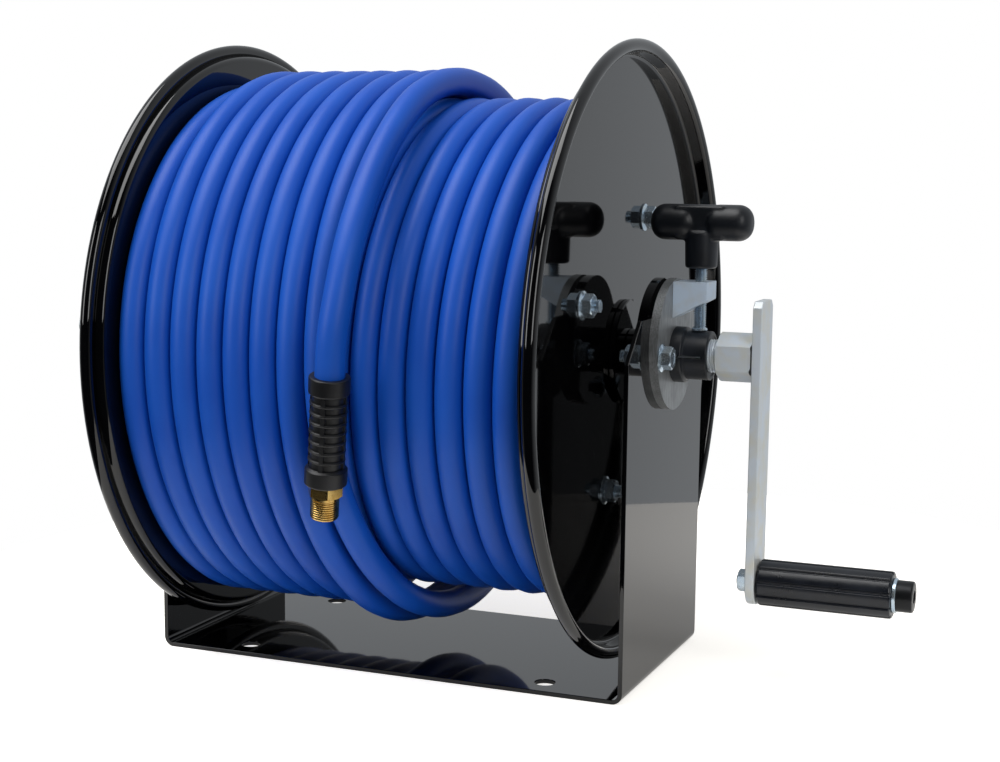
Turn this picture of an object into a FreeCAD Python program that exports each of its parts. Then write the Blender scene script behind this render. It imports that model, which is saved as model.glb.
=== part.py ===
import FreeCAD, Part
import math
import os
from FreeCAD import Vector

os.makedirs("parts", exist_ok=True)

# Hand-cranked hose reel, millimetres.
# X runs along the drum's axis towards the crank, -Y is the front, Z is up.
# The origin is the middle of the base's underside.

# Clearances
running_fit = 0.05          # radial, between a shaft and what turns on it
seat_gap = 0.3              # between a soft piece and what carries it
bolt_hole_play = 0.3        # radial, round a bolt

# U-shaped frame of one bent sheet
axis_height = 212.5
frame_width = 333.0
frame_depth = 166.0
frame_sheet = 3.0
frame_bend = 4.0            # inside radius of the two bends
shoulder_rise = 1.0         # where an upright's sides start to slope, above the axis
upright_rise = 26.0         # an upright's top edge, above the axis
upright_top_depth = 126.0
foot_hole_d = 13.5
foot_spacing_x = 217.0
foot_spacing_y = 129.0

# Shaft, a length of steel pipe that also carries the water or air
shaft_d = 21.3
shaft_bore = 15.8
shaft_in_swivel = 14.0
shaft_in_coupling = 17.6
thread_shown = 5.7          # of the pipe, between the hub and the coupling

# Flanges, pressed discs with a wired edge
flange_r = 200.0
flange_sheet = 1.5
web_corner = 2.5            # inside radius of the corner between web and wall
wall_r = 191.0              # inside of the wall beside the web
bead_r = 4.2
bead_reach = 8.0            # from the web's outer face to the bead's centre
hub_disc_r = 34.0
hub_disc = 4.0
spacer_r = 15.0
spacer = 16.2

# Barrel and the four tie rods inside it
barrel_r = 107.5
barrel_sheet = 1.5
tie_circle_r = 93.5
tie_first_angle = 67.0      # from +Y towards +Z
tie_count = 4

# M8 fasteners with flanged nuts
m8_d = 8.0
m8_flats = 13.0
m8_nut = 8.0
m8_flange_d = 18.0
m8_flange = 2.0
tip_out = 4.0               # thread that stands out of a nut

# Plates that carry the bearings, and their bolts
drag_plate = 5.5
drag_plate_r = 42.5
drag_plate_rise = 6.5       # centre of the plate's outline above the axis
inner_plate = 6.0
plate_bolt_reach = 34.0     # from the axis to a bolt, along Y
plate_bolt_rise = 1.0

# Split nylon hub on the right and plain bush on the left
sleeve_d = 27.0
collar_d = 36.0
collar_length = 8.0
hub_d = 31.5
hub_length = 15.7
hub_slot = 1.6
hub_slot_start = 4.0        # from the plate's face
hub_slot_end = 3.5          # left whole at the hub's free end
bush_collar = 5.5

# Wedge bracket and the T-handled drag screw
bracket_depth = 23.0
bracket_length = 22.3
bracket_top = 47.5          # above the axis
bracket_root = 23.5         # height at the plate
bracket_tip = 11.5          # height at the free end
bracket_corner = 4.0
screw_out = 15.0            # screw centre from the plate's face
pad_d = 10.0
pad = 2.0
tee_rise = 85.0             # crossbar centre above the axis
tee_length = 66.0
tee_d = 23.0
tee_end_round = 9.0
tee_neck_end = 56.0         # bottom of the neck, above the axis
tee_neck_d = 21.0
screw_in_tee = 22.0

# Crank
coupling_length = 23.7
coupling_flats = 27.5
coupling_chamfer = 2.2
arm_thick = 6.0
arm_width = 29.5
arm_top = 37.0              # above the axis
arm_corner = 4.0
crank_r = 145.0
grip_gap = 1.0              # between arm and grip
grip_length = 85.0
grip_d = 30.0
flute_count = 10
flute_r = 2.0
grip_end_round = 2.0
pivot_d = 12.0
washer_d = 22.0
washer = 2.5
head_d = 20.0
head = 10.3
head_socket = 8.0
head_socket_depth = 5.0
handle_nut = 7.0

# Left swivel with its male inlet
swivel_gap = 3.7            # between the set collar and the swivel
swivel_d = 36.0
swivel_flats = 32.0
swivel_length = 57.5
swivel_hex = 22.0
inlet_d = 21.3
inlet_length = 40.0
inlet_bore = 14.0
seal_section = 3.5
seal_from_end = 6.0
ring_thick = 1.6
ring_d = 27.0
set_collar_d = 32.0
set_collar = 10.0

# Outlet inside the barrel
riser_from_web = 14.5
riser_rise = 66.0
riser_bend = 20.0
riser_lip = 6.0
inner_hex_flats = 24.0
inner_hex = 8.0
inner_ferrule_d = 22.4
inner_ferrule = 15.0
lead_straight = 7.0
lead_bend = 61.0
lead_room = 3.0             # round the hose where it passes the barrel
lead_start = 38.0           # degrees from the top over the front, where the barrel opens for it
lead_end = 90.0
pocket_end = 110.0          # the same for the pocket behind it

# Hose
hose_d = 18.0
hose_facets = 8
hose_pitch = 18.45
core_r = 145.2
layer_gap = 0.5             # between two layers
hidden_layer_step = 18.5    # from the hidden layer below to the first one seen
lower_turns = 7             # turns of the lower layer that are wound
upper_turns = 6             # whole turns of the upper layer before the slack ones
wall_play = 0.45            # between a turn and the web beside it
look_step = 6.0             # between the points the gaps are measured at

# Hose end: sleeve, ferrule and male fitting
sleeve_top_d = 24.5
sleeve_top = 10.3
sleeve_body_d = 22.3
sleeve_wall = 1.6
sleeve_rows = 8
sleeve_row_pitch = 6.15
sleeve_window = 4.1
sleeve_bars = 4
sleeve_bar = 3.4
sleeve_bottom_d = 25.5
sleeve_bottom = 10.0
end_hex_flats = 19.0
end_hex = 7.3
end_thread_d = 17.2
end_thread = 14.4
end_chamfer = 1.2
end_bore = 9.5
climb_start = -230.0        # degrees from the top over the front, round the place where a layer starts
climb_end = 6.0             # where the lower layer has reached its height
late_climb_end = 95.0       # the same for the upper layer
past_back = 290.0           # round the place where the lower layer ends
climb_share = 0.5           # of the climb from the hidden layer, made in its first half
end_rise = 1.2              # a straight end leaves the winding's circle by this
end_rates = (7.5, 55.0)     # mm per turn to the right and outwards at the last of these
# the loose last turn: turns on, mm to the right and mm outwards of a tight turn
slack_stations = [
    (0.25, 0.0, 0.0), (0.5, 12.0, 10.5), (0.75, 16.0, 4.0), (1.0, 18.45, 0.0), (1.25, 18.45, 0.0),
    (1.5, 38.0, 5.0), (1.75, 41.0, 0.6), (2.0, 37.5, 0.5), (2.108, 41.0, 10.15),
]
end_point = Vector(22.6, -196.0, 1.9)          # top of the sleeve, from the drum's centre
end_direction = Vector(-0.135, 0.168, -0.976)

half_width = frame_width / 2
shaft_r = shaft_d / 2
bore_r = shaft_r + running_fit
m8_r = m8_d / 2
upright_inner = half_width - frame_sheet
plate_face = half_width + drag_plate
inner_plate_face = upright_inner - inner_plate
web_face = inner_plate_face - seat_gap - spacer - hub_disc
web_inner = web_face - flange_sheet
coupling_start = plate_face + collar_length + hub_length + thread_shown
coupling_end = coupling_start + coupling_length
collar_start = half_width + bush_collar + seat_gap
swivel_start = collar_start + set_collar + swivel_gap
shaft_left = swivel_start + shaft_in_swivel
shaft_right = coupling_start + shaft_in_coupling
riser_x = riser_from_web - web_inner
hose_r = hose_d / 2
lower_r = core_r + seat_gap + hose_r
upper_r = lower_r + hose_d + layer_gap
centre = Vector(0, 0, axis_height)


def save(shape, name):
    shape.exportStep("parts/" + name + ".step")


def rod(x0, x1, r, y=0.0, z=0.0):
    """A cylinder along X, with y and z counted from the drum's axis."""
    return Part.makeCylinder(r, x1 - x0, Vector(x0, y, axis_height + z), Vector(1, 0, 0))


def ring(x0, x1, r, inner_r, y=0.0, z=0.0):
    return rod(x0, x1, r, y, z).cut(rod(x0, x1, inner_r, y, z))


def hexagon(x0, x1, flats, y=0.0, z=0.0):
    """A hexagonal bar along X with two corners up and down."""
    corner_r = flats / math.sqrt(3)
    points = []
    for i in range(7):
        turn = math.radians(60 * i + 90)
        points.append(Vector(x0, y + corner_r * math.cos(turn), axis_height + z + corner_r * math.sin(turn)))
    return Part.Face(Part.makePolygon(points)).extrude(Vector(x1 - x0, 0, 0))


def revolve_x(edges):
    return Part.Face(Part.Wire(edges)).revolve(centre, Vector(1, 0, 0), 360)


def section_point(x, r):
    return Vector(x, 0, axis_height + r)


def line(a, b):
    return Part.LineSegment(a, b).toShape()


def arc(a, mid, b):
    return Part.Arc(a, mid, b).toShape()


def arc_about(x, r, radius, start, end):
    """An arc in the section plane, its angles counted from +X outwards."""
    points = []
    for turn in (start, (start + end) / 2, end):
        points.append(section_point(x + radius * math.cos(math.radians(turn)),
                                    r + radius * math.sin(math.radians(turn))))
    return arc(*points)


def mirrored(shape):
    return shape.mirror(Vector(0, 0, 0), Vector(1, 0, 0))


def tie_places():
    places = []
    for i in range(tie_count):
        turn = math.radians(tie_first_angle + 360 * i / tie_count)
        places.append((tie_circle_r * math.cos(turn), tie_circle_r * math.sin(turn)))
    return places


def plate_bolt_places():
    return [(-plate_bolt_reach, plate_bolt_rise), (plate_bolt_reach, plate_bolt_rise)]


def flange_nut(seat, out, y, z, hole=True):
    """A flanged hexagon nut on the face x = seat; out is 1 or -1."""
    low = min(seat, seat + out * m8_nut)
    body = hexagon(low, low + m8_nut, m8_flats, y, z)
    skirt = Part.makeCone(m8_flange_d / 2, m8_flats / 2, m8_flange,
                          Vector(seat, y, axis_height + z), Vector(out, 0, 0))
    body = body.fuse(skirt).removeSplitter()
    if hole:
        body = body.cut(rod(low, low + m8_nut, m8_r + running_fit, y, z))
    return body


# Frame
def make_frame():
    outer_bend = frame_bend + frame_sheet
    top = axis_height + upright_rise
    block = Part.makeBox(frame_width, frame_depth, top, Vector(-half_width, -frame_depth / 2, 0))
    low_edges = [e for e in block.Edges
                 if abs(e.BoundBox.ZMax) < 1e-6 and e.BoundBox.YLength > frame_depth / 2]
    block = block.makeFillet(outer_bend, low_edges)
    space = Part.makeBox(frame_width - 2 * frame_sheet, frame_depth, top,
                         Vector(-upright_inner, -frame_depth / 2, frame_sheet))
    inner_edges = [e for e in space.Edges
                   if abs(e.BoundBox.ZMax - frame_sheet) < 1e-6 and e.BoundBox.YLength > frame_depth / 2]
    space = space.makeFillet(frame_bend, inner_edges)
    frame = block.cut(space)
    half_depth = frame_depth / 2
    half_top = upright_top_depth / 2
    shoulder = axis_height + shoulder_rise
    outline = Part.makePolygon([
        Vector(-half_width, -half_depth, 0), Vector(-half_width, half_depth, 0),
        Vector(-half_width, half_depth, shoulder), Vector(-half_width, half_top, top),
        Vector(-half_width, -half_top, top), Vector(-half_width, -half_depth, shoulder),
        Vector(-half_width, -half_depth, 0)])
    frame = frame.common(Part.Face(outline).extrude(Vector(frame_width, 0, 0)))
    for x in (-foot_spacing_x / 2, foot_spacing_x / 2):
        for y in (-foot_spacing_y / 2, foot_spacing_y / 2):
            frame = frame.cut(Part.makeCylinder(foot_hole_d / 2, frame_sheet, Vector(x, y, 0)))
    frame = frame.cut(rod(-half_width, half_width, sleeve_d / 2 + running_fit))
    for y, z in plate_bolt_places():
        frame = frame.cut(rod(-half_width, half_width, m8_r + bolt_hole_play, y, z))
    return frame


def bearing_plate(x0, x1):
    plate = rod(x0, x1, drag_plate_r, 0, drag_plate_rise)
    plate = plate.cut(rod(x0, x1, sleeve_d / 2 + running_fit))
    for y, z in plate_bolt_places():
        plate = plate.cut(rod(x0, x1, m8_r + bolt_hole_play, y, z))
    return plate


def make_split_hub():
    end = plate_face + collar_length + hub_length
    hub = rod(inner_plate_face, plate_face, sleeve_d / 2)
    hub = hub.fuse([rod(plate_face, plate_face + collar_length, collar_d / 2),
                    rod(plate_face + collar_length, end, hub_d / 2)]).removeSplitter()
    hub = hub.cut(rod(inner_plate_face, end, bore_r))
    slot_start = plate_face + hub_slot_start
    slot = Part.makeBox(end - hub_slot_end - slot_start, collar_d, hub_slot,
                        Vector(slot_start, -collar_d / 2, axis_height - hub_slot / 2))
    return hub.cut(slot)


def make_left_bush():
    bush = rod(-half_width, -inner_plate_face, sleeve_d / 2)
    bush = bush.fuse(rod(-half_width - bush_collar, -half_width, collar_d / 2)).removeSplitter()
    return bush.cut(rod(-half_width - bush_collar, -inner_plate_face, bore_r))


def make_wedge_bracket():
    top = axis_height + bracket_top
    tip = plate_face + bracket_length
    outline = Part.makePolygon([
        Vector(plate_face, -bracket_depth / 2, top),
        Vector(tip - bracket_corner, -bracket_depth / 2, top),
        Vector(tip, -bracket_depth / 2, top - bracket_corner),
        Vector(tip, -bracket_depth / 2, top - bracket_tip),
        Vector(plate_face, -bracket_depth / 2, top - bracket_root),
        Vector(plate_face, -bracket_depth / 2, top)])
    wedge = Part.Face(outline).extrude(Vector(0, bracket_depth, 0))
    hole = Part.makeCylinder(m8_r + running_fit, bracket_top, Vector(plate_face + screw_out, 0, axis_height))
    return wedge.cut(hole)


def make_plate_bolts(side):
    """Bolts from outside; side is 1 on the crank's side and -1 on the other."""
    seat = plate_face if side > 0 else half_width
    end = inner_plate_face - m8_nut - tip_out
    bolts = []
    for y, z in plate_bolt_places():
        head_part = flange_nut(side * seat, side, y, z, hole=False)
        shank = rod(min(side * end, side * seat), max(side * end, side * seat), m8_r, y, z)
        bolts.append(head_part.fuse(shank).removeSplitter())
    return bolts


def make_plate_nuts(side):
    return [flange_nut(side * inner_plate_face, -side, y, z) for y, z in plate_bolt_places()]


# Drag screw
def make_drag_pad():
    low = axis_height + hub_d / 2
    return Part.makeCylinder(pad_d / 2, pad, Vector(plate_face + screw_out, 0, low + running_fit))


def make_drag_screw():
    low = axis_height + hub_d / 2 + running_fit + pad
    top = axis_height + tee_neck_end + screw_in_tee
    return Part.makeCylinder(m8_r, top - low, Vector(plate_face + screw_out, 0, low))


def make_tee():
    x = plate_face + screw_out
    bar = Part.makeCylinder(tee_d / 2, tee_length, Vector(x - tee_length / 2, 0, axis_height + tee_rise),
                            Vector(1, 0, 0))
    bar = bar.makeFillet(tee_end_round, [e for e in bar.Edges if e.BoundBox.XLength < 1e-6])
    neck = Part.makeCone(tee_neck_d / 2, tee_d / 2 - bolt_hole_play, tee_rise - tee_neck_end,
                         Vector(x, 0, axis_height + tee_neck_end), Vector(0, 0, 1))
    tee = bar.fuse(neck)
    hole = Part.makeCylinder(m8_r, screw_in_tee, Vector(x, 0, axis_height + tee_neck_end))
    return tee.cut(hole)


# Drum
def make_flange():
    corner_x = web_face + web_corner
    corner_r = wall_r - web_corner
    bead_x = web_face + bead_reach
    bead_centre_r = flange_r - bead_r
    outer_wall_start = wall_r + flange_sheet
    outer_wall_end = bead_centre_r - bead_r + flange_sheet
    close_angle = 180 + math.degrees(math.asin((bead_centre_r - outer_wall_end) / bead_r))
    close_x = bead_x + bead_r * math.cos(math.radians(close_angle))
    close_r = bead_centre_r + bead_r * math.sin(math.radians(close_angle))
    outer_corner = web_corner + flange_sheet
    hole_r = shaft_r + running_fit
    profile = [
        line(section_point(web_inner, hole_r), section_point(web_face, hole_r)),
        line(section_point(web_face, hole_r), section_point(web_face, corner_r)),
        arc_about(corner_x, corner_r, web_corner, 180, 90),
        line(section_point(corner_x, wall_r), section_point(bead_x, bead_centre_r - bead_r)),
        arc_about(bead_x, bead_centre_r, bead_r, -90, 90),
        arc_about(bead_x, bead_centre_r, bead_r, 90, close_angle),
        line(section_point(close_x, close_r), section_point(corner_x, outer_wall_start)),
        arc_about(corner_x, corner_r, outer_corner, 90, 180),
        line(section_point(web_inner, corner_r), section_point(web_inner, hole_r)),
    ]
    flange = revolve_x(profile)
    for y, z in tie_places():
        flange = flange.cut(rod(web_inner, web_face, m8_r + bolt_hole_play, y, z))
    return flange


def ring_sector(x0, x1, r0, r1, start, end):
    """Part of a ring; angles in degrees go from the top over the front."""
    points = [section_point(x, r) for x, r in ((x0, r0), (x1, r0), (x1, r1), (x0, r1), (x0, r0))]
    sector = Part.Face(Part.makePolygon(points)).revolve(centre, Vector(1, 0, 0), end - start)
    sector.rotate(centre, Vector(1, 0, 0), start)
    return sector


def make_barrel():
    barrel = ring(-web_inner, web_inner, barrel_r, barrel_r - barrel_sheet)
    opening = ring_sector(-web_inner, riser_x + hose_r + lead_room, barrel_r - 3 * barrel_sheet,
                          barrel_r + barrel_sheet, lead_start, lead_end)
    return barrel.cut(opening)


def make_shaft():
    shaft = ring(-shaft_left, shaft_right, shaft_r, shaft_bore / 2)
    outlet = Part.makeCylinder(shaft_bore / 2, shaft_r, Vector(riser_x, 0, axis_height))
    return shaft.cut(outlet)


def make_riser():
    turn = Vector(riser_x, 0, axis_height + riser_rise - riser_bend)
    past = Vector(riser_x, -riser_bend, axis_height + riser_rise)
    share = riser_bend * (1 - math.sqrt(0.5))
    middle = Vector(riser_x, -share, axis_height + riser_rise - share)
    end = past + Vector(0, -riser_lip, 0)
    start = Vector(riser_x, 0, axis_height)
    path = Part.Wire([line(start, turn), arc(turn, middle, past), line(past, end)])
    outer = path.makePipeShell([Part.Wire(Part.makeCircle(shaft_r, start, Vector(0, 0, 1)))], True, False)
    inner = path.makePipeShell([Part.Wire(Part.makeCircle(shaft_bore / 2, start, Vector(0, 0, 1)))], True, False)
    return outer.cut([inner, rod(riser_x - shaft_d, riser_x + shaft_d, shaft_r)])


# Hose
def place(turns, x, r):
    """A point of the hose; turns are counted from the top, over the front."""
    a = 2 * math.pi * turns
    return Vector(x, -r * math.sin(a), axis_height + r * math.cos(a))


def heading(turns, r, x_rate, r_rate):
    """The hose's direction there; the rates are mm per turn."""
    a = 2 * math.pi * turns
    across = Vector(0, -math.cos(a), -math.sin(a))
    outwards = Vector(0, -math.sin(a), math.cos(a))
    direction = across * (2 * math.pi * r) + outwards * r_rate + Vector(x_rate, 0, 0)
    return direction.normalize()


def tangent_arc(a, direction, b):
    chord = b - a
    side = chord - direction * chord.dot(direction)
    side.normalize()
    radius = chord.dot(chord) / (2 * chord.dot(side))
    middle = a + side * radius
    towards = (a + b) * 0.5 - middle
    towards.normalize()
    return arc(a, middle + towards * radius, b), radius


def biarc(a, start, b, end):
    """Two arcs that leave a along start and reach b along end."""
    span = b - a
    both = start + end
    spread = 2 * (1 - start.dot(end))
    along = span.dot(both)
    reach = (math.sqrt(along * along + spread * span.dot(span)) - along) / spread
    joint = ((a + start * reach) + (b - end * reach)) * 0.5
    first, first_radius = tangent_arc(a, start, joint)
    second, second_radius = tangent_arc(b, end * -1, joint)
    return [first, Part.Arc(joint, second.valueAt((second.FirstParameter + second.LastParameter) / 2),
                            b).toShape()], (first_radius, second_radius)


def steady_rate(stations, i, column):
    """Change per turn at a station, without overshoot: none where the hose stops going one way."""
    if i == 0 or i == len(stations) - 1:
        return 0.0
    before, here, after = stations[i - 1:i + 2]
    rate_in = (here[column] - before[column]) / (here[0] - before[0])
    rate_out = (after[column] - here[column]) / (after[0] - here[0])
    if rate_in * rate_out <= 0:
        return 0.0
    return 2 * rate_in * rate_out / (rate_in + rate_out)


def hose_path(stations, last_point=None, last_direction=None):
    """Stations are (turns, x, r); the ends run straight for one diameter."""
    points = []
    for i, (turns, x, r) in enumerate(stations):
        x_rate = steady_rate(stations, i, 1)
        r_rate = steady_rate(stations, i, 2)
        if last_point is not None and i == len(stations) - 1:
            x_rate, r_rate = end_rates
        points.append((place(turns, x, r), heading(turns, r, x_rate, r_rate)))
    if last_point is not None:
        points.append((last_point, last_direction))
    first, first_direction = points[0]
    edges = [line(first - first_direction * hose_d, first)]
    radii = []
    for (a, start), (b, end) in zip(points, points[1:]):
        pair, both = biarc(a, start, b, end)
        edges += pair
        radii += both
    last, direction = points[-1]
    edges.append(line(last, last + direction * hose_d))
    return Part.Wire(edges), min(radii)


def tube_along(path):
    start = path.Edges[0].valueAt(path.Edges[0].FirstParameter)
    direction = path.Edges[0].tangentAt(path.Edges[0].FirstParameter)
    circle = Part.makeCircle(hose_r, start, direction)
    corners = [circle.valueAt(2 * math.pi * i / hose_facets) for i in range(hose_facets + 1)]
    shell = Part.BRepOffsetAPI.MakePipeShell(path)
    shell.add(Part.makePolygon(corners))
    shell.build()
    shell.makeSolid()
    return shell.shape()


def least_gap(path):
    """Smallest gap from the hose to itself, beyond four diameters along it."""
    points = path.discretize(Distance=look_step)
    skip = int(4 * hose_d / look_step)
    least = None
    for i in range(0, len(points) - skip):
        a = points[i]
        for b in points[i + skip:]:
            if abs(a.x - b.x) > 2 * hose_d:
                continue
            apart = a.distanceToPoint(b)
            if least is None or apart < least:
                least = apart
    return least - hose_d


def lower_stations():
    """From the hidden layer up beside the right flange, then leftwards; each turn steps over at the front."""
    x = web_inner - wall_play - hose_r
    low = lower_r - hidden_layer_step
    stations = [(-0.5, x, low), (-0.25, x, low + climb_share * hidden_layer_step), (0.0, x, lower_r)]
    for i in range(lower_turns):
        x -= hose_pitch
        stations += [(i + 0.25, x + hose_pitch / 2, lower_r), (i + 0.5, x, lower_r), (i + 1.0, x, lower_r)]
    return stations[:-1] + [(lower_turns - 0.25, x, lower_r)]


def upper_stations():
    """From the lower layer up beside the left flange, then rightwards; each turn steps over at the back."""
    x = -(web_inner - wall_play - hose_r)
    step = upper_r - lower_r
    stations = [(-0.5, x, lower_r - end_rise), (-0.25, x, lower_r), (0.0, x, lower_r + climb_share * step),
                (0.25, x, upper_r)]
    for i in range(upper_turns):
        stations += [(i + 0.5, x, upper_r), (i + 0.75, x + hose_pitch / 2, upper_r)]
        x += hose_pitch
        stations.append((i + 1.0, x, upper_r))
    for along, right, out in slack_stations:
        stations.append((upper_turns + along, x + right, upper_r + out))
    return stations


def box_from(x, y, z, size):
    return Part.makeBox(size, size, size, Vector(x, y, z))


def make_core():
    """The layers below, as one body, with room for the hose where it climbs and where it ends."""
    reach = web_inner - seat_gap
    low = barrel_r + seat_gap
    step_r = lower_r + hose_r
    last_x = web_inner - wall_play - hose_r - lower_turns * hose_pitch
    step_x = last_x + hose_pitch - hose_r - seat_gap
    side_x = web_inner - 2 * wall_play - hose_d - layer_gap
    wide = 4 * flange_r
    past_start = box_from(-wide / 2, -hose_d, axis_height - wide / 2, wide)
    before_end = box_from(-wide / 2, -wide / 2, axis_height + hose_d - wide, wide)
    before_lead = box_from(-wide / 2, -wide / 2, axis_height + riser_rise - lead_bend - hose_d, wide)
    right_low = lower_r - hidden_layer_step - hose_r - seat_gap
    core = ring(-reach, reach, core_r, low).fuse(ring(-reach, step_x, step_r, low)).removeSplitter()
    return core.cut([
        ring_sector(side_x, reach, right_low, step_r, climb_start, climb_end).common(past_start),
        ring_sector(-reach, -side_x, core_r - end_rise, 2 * step_r - core_r, climb_start, 0).common(past_start),
        ring_sector(-reach, -side_x, core_r, 2 * step_r - core_r, 0, late_climb_end),
        ring_sector(step_x - hose_pitch, step_x, core_r, 2 * step_r - core_r, 0, 180),
        ring_sector(step_x - hose_pitch, step_x, core_r, 2 * step_r - core_r, 180, past_back).common(before_end),
        ring_sector(-reach, riser_x + hose_r + lead_room, low - seat_gap, barrel_r + hose_d + lead_room,
                    lead_start, pocket_end).common(before_lead)])


def lead_points():
    start_y = -(riser_bend + riser_lip + inner_hex + inner_ferrule)
    start = Vector(riser_x, start_y, axis_height + riser_rise)
    turn = start + Vector(0, -lead_straight, 0)
    end = turn + Vector(0, -lead_bend, -lead_bend)
    return start, turn, end


def make_lead():
    start, turn, end = lead_points()
    share = lead_bend * math.sqrt(0.5)
    middle = turn + Vector(0, -share, share - lead_bend)
    first = start + Vector(0, inner_ferrule, 0)
    path = Part.Wire([line(first, turn), arc(turn, middle, end), line(end, end + Vector(0, 0, -hose_d))])
    return tube_along(path)


def make_inner_fitting():
    y0 = -(riser_bend + riser_lip)
    base = Vector(riser_x, y0, axis_height + riser_rise)
    back = Vector(0, -1, 0)
    corners = [Vector(riser_x + inner_hex_flats / math.sqrt(3) * math.cos(math.radians(60 * i)), y0,
                      axis_height + riser_rise + inner_hex_flats / math.sqrt(3) * math.sin(math.radians(60 * i)))
               for i in range(7)]
    body = Part.Face(Part.makePolygon(corners)).extrude(back * inner_hex)
    body = body.cut(Part.makeCylinder(end_bore / 2, inner_hex, base, back))
    sleeve_base = base + back * inner_hex
    ferrule = Part.makeCylinder(inner_ferrule_d / 2, inner_ferrule, sleeve_base, back)
    ferrule = ferrule.cut(Part.makeCylinder(hose_r + running_fit, inner_ferrule, sleeve_base, back))
    return body.fuse(ferrule).removeSplitter()


# Hose end
def end_axis_point(along):
    direction = Vector(end_direction).normalize()
    return centre + end_point + direction * along


def end_rod(s0, s1, r):
    direction = Vector(end_direction).normalize()
    return Part.makeCylinder(r, s1 - s0, end_axis_point(s0), direction)


def sleeve_length():
    return sleeve_top + sleeve_rows * sleeve_row_pitch + sleeve_bottom


def make_end_sleeve():
    body_end = sleeve_top + sleeve_rows * sleeve_row_pitch
    length = sleeve_length()
    sleeve = end_rod(sleeve_top, body_end, sleeve_body_d / 2)
    sleeve = sleeve.fuse([end_rod(0, sleeve_top, sleeve_top_d / 2), end_rod(body_end, length, sleeve_bottom_d / 2)])
    sleeve = sleeve.removeSplitter()
    direction = Vector(end_direction).normalize()
    turn = FreeCAD.Rotation(Vector(0, 0, 1), direction)
    windows = []
    for i in range(sleeve_rows):
        low = sleeve_top + i * sleeve_row_pitch + (sleeve_row_pitch - sleeve_window) / 2
        band = Part.makeCylinder(sleeve_body_d, sleeve_window, Vector(0, 0, low))
        for j in range(sleeve_bars // 2):
            bar = Part.makeBox(4 * sleeve_body_d, sleeve_bar, sleeve_window,
                               Vector(-2 * sleeve_body_d, -sleeve_bar / 2, low))
            bar.rotate(Vector(0, 0, 0), Vector(0, 0, 1), 360 / sleeve_bars * (j + 0.5))
            band = band.cut(bar)
        windows.append(band)
    cutter = Part.makeCompound(windows)
    cutter.Placement = FreeCAD.Placement(centre + end_point, turn)
    sleeve = sleeve.cut(cutter)
    return sleeve.cut(end_rod(0, length, sleeve_body_d / 2 - sleeve_wall))


def make_end_ferrule():
    start = hose_d
    length = sleeve_length()
    outer_r = sleeve_body_d / 2 - sleeve_wall - running_fit
    return end_rod(start, length, outer_r).cut(end_rod(start, length, end_bore / 2))


def make_end_fitting():
    start = sleeve_length()
    direction = Vector(end_direction).normalize()
    corner_r = end_hex_flats / math.sqrt(3)
    corners = [Vector(corner_r * math.cos(math.radians(60 * i)), corner_r * math.sin(math.radians(60 * i)), 0)
               for i in range(7)]
    body = Part.Face(Part.makePolygon(corners)).extrude(Vector(0, 0, end_hex))
    body.Placement = FreeCAD.Placement(end_axis_point(start), FreeCAD.Rotation(Vector(0, 0, 1), direction))
    end = start + end_hex + end_thread
    tip = Part.makeCone(end_thread_d / 2, end_thread_d / 2 - end_chamfer, end_chamfer,
                        end_axis_point(end - end_chamfer), direction)
    body = body.fuse([end_rod(start + end_hex, end - end_chamfer, end_thread_d / 2), tip]).removeSplitter()
    return body.cut(end_rod(start, end, end_bore / 2))


# Crank
def make_coupling():
    body = hexagon(coupling_start, coupling_end, coupling_flats)
    low_r = coupling_flats / 2
    high_r = coupling_flats
    cone = Part.makeCone(low_r, high_r, (high_r - low_r) * coupling_chamfer,
                         Vector(coupling_start, 0, axis_height), Vector(1, 0, 0))
    body = body.common(cone)
    return body.cut(rod(coupling_start, shaft_right, shaft_r))


def make_arm():
    x = coupling_end
    half = arm_width / 2
    top = axis_height + arm_top
    low = axis_height - crank_r
    outline = Part.Wire([
        line(Vector(x, -half, low), Vector(x, -half, top - arm_corner)),
        line(Vector(x, -half, top - arm_corner), Vector(x, -half + arm_corner, top)),
        line(Vector(x, -half + arm_corner, top), Vector(x, half - arm_corner, top)),
        line(Vector(x, half - arm_corner, top), Vector(x, half, top - arm_corner)),
        line(Vector(x, half, top - arm_corner), Vector(x, half, low)),
        arc(Vector(x, half, low), Vector(x, 0, low - half), Vector(x, -half, low))])
    arm = Part.Face(outline).extrude(Vector(arm_thick, 0, 0))
    return arm.cut(rod(x, x + arm_thick, m8_r + running_fit, 0, -crank_r))


def grip_start():
    return coupling_end + arm_thick + grip_gap


def make_grip():
    start = grip_start()
    end = start + grip_length
    grip = rod(start, end, grip_d / 2, 0, -crank_r)
    grip = grip.makeFillet(grip_end_round, [e for e in grip.Edges if e.BoundBox.XLength < 1e-6])
    flutes = []
    for i in range(flute_count):
        turn = 2 * math.pi * i / flute_count
        flutes.append(rod(start, end, flute_r, grip_d / 2 * math.cos(turn), grip_d / 2 * math.sin(turn) - crank_r))
    return grip.cut(flutes).cut(rod(start, end, pivot_d / 2 + running_fit, 0, -crank_r))


def make_handle_screw():
    start = coupling_end - m8_nut
    shoulder = coupling_end + arm_thick
    seat = grip_start() + grip_length + washer
    screw = rod(start, shoulder, m8_r, 0, -crank_r)
    screw = screw.fuse([rod(shoulder, seat, pivot_d / 2, 0, -crank_r), rod(seat, seat + head, head_d / 2, 0, -crank_r)])
    socket = hexagon(seat + head - head_socket_depth, seat + head, head_socket, 0, -crank_r)
    return screw.removeSplitter().cut(socket)


def make_handle_nut():
    start = coupling_end - handle_nut
    nut = hexagon(start, coupling_end, m8_flats, 0, -crank_r)
    return nut.cut(rod(start, coupling_end, m8_r + running_fit, 0, -crank_r))


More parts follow.
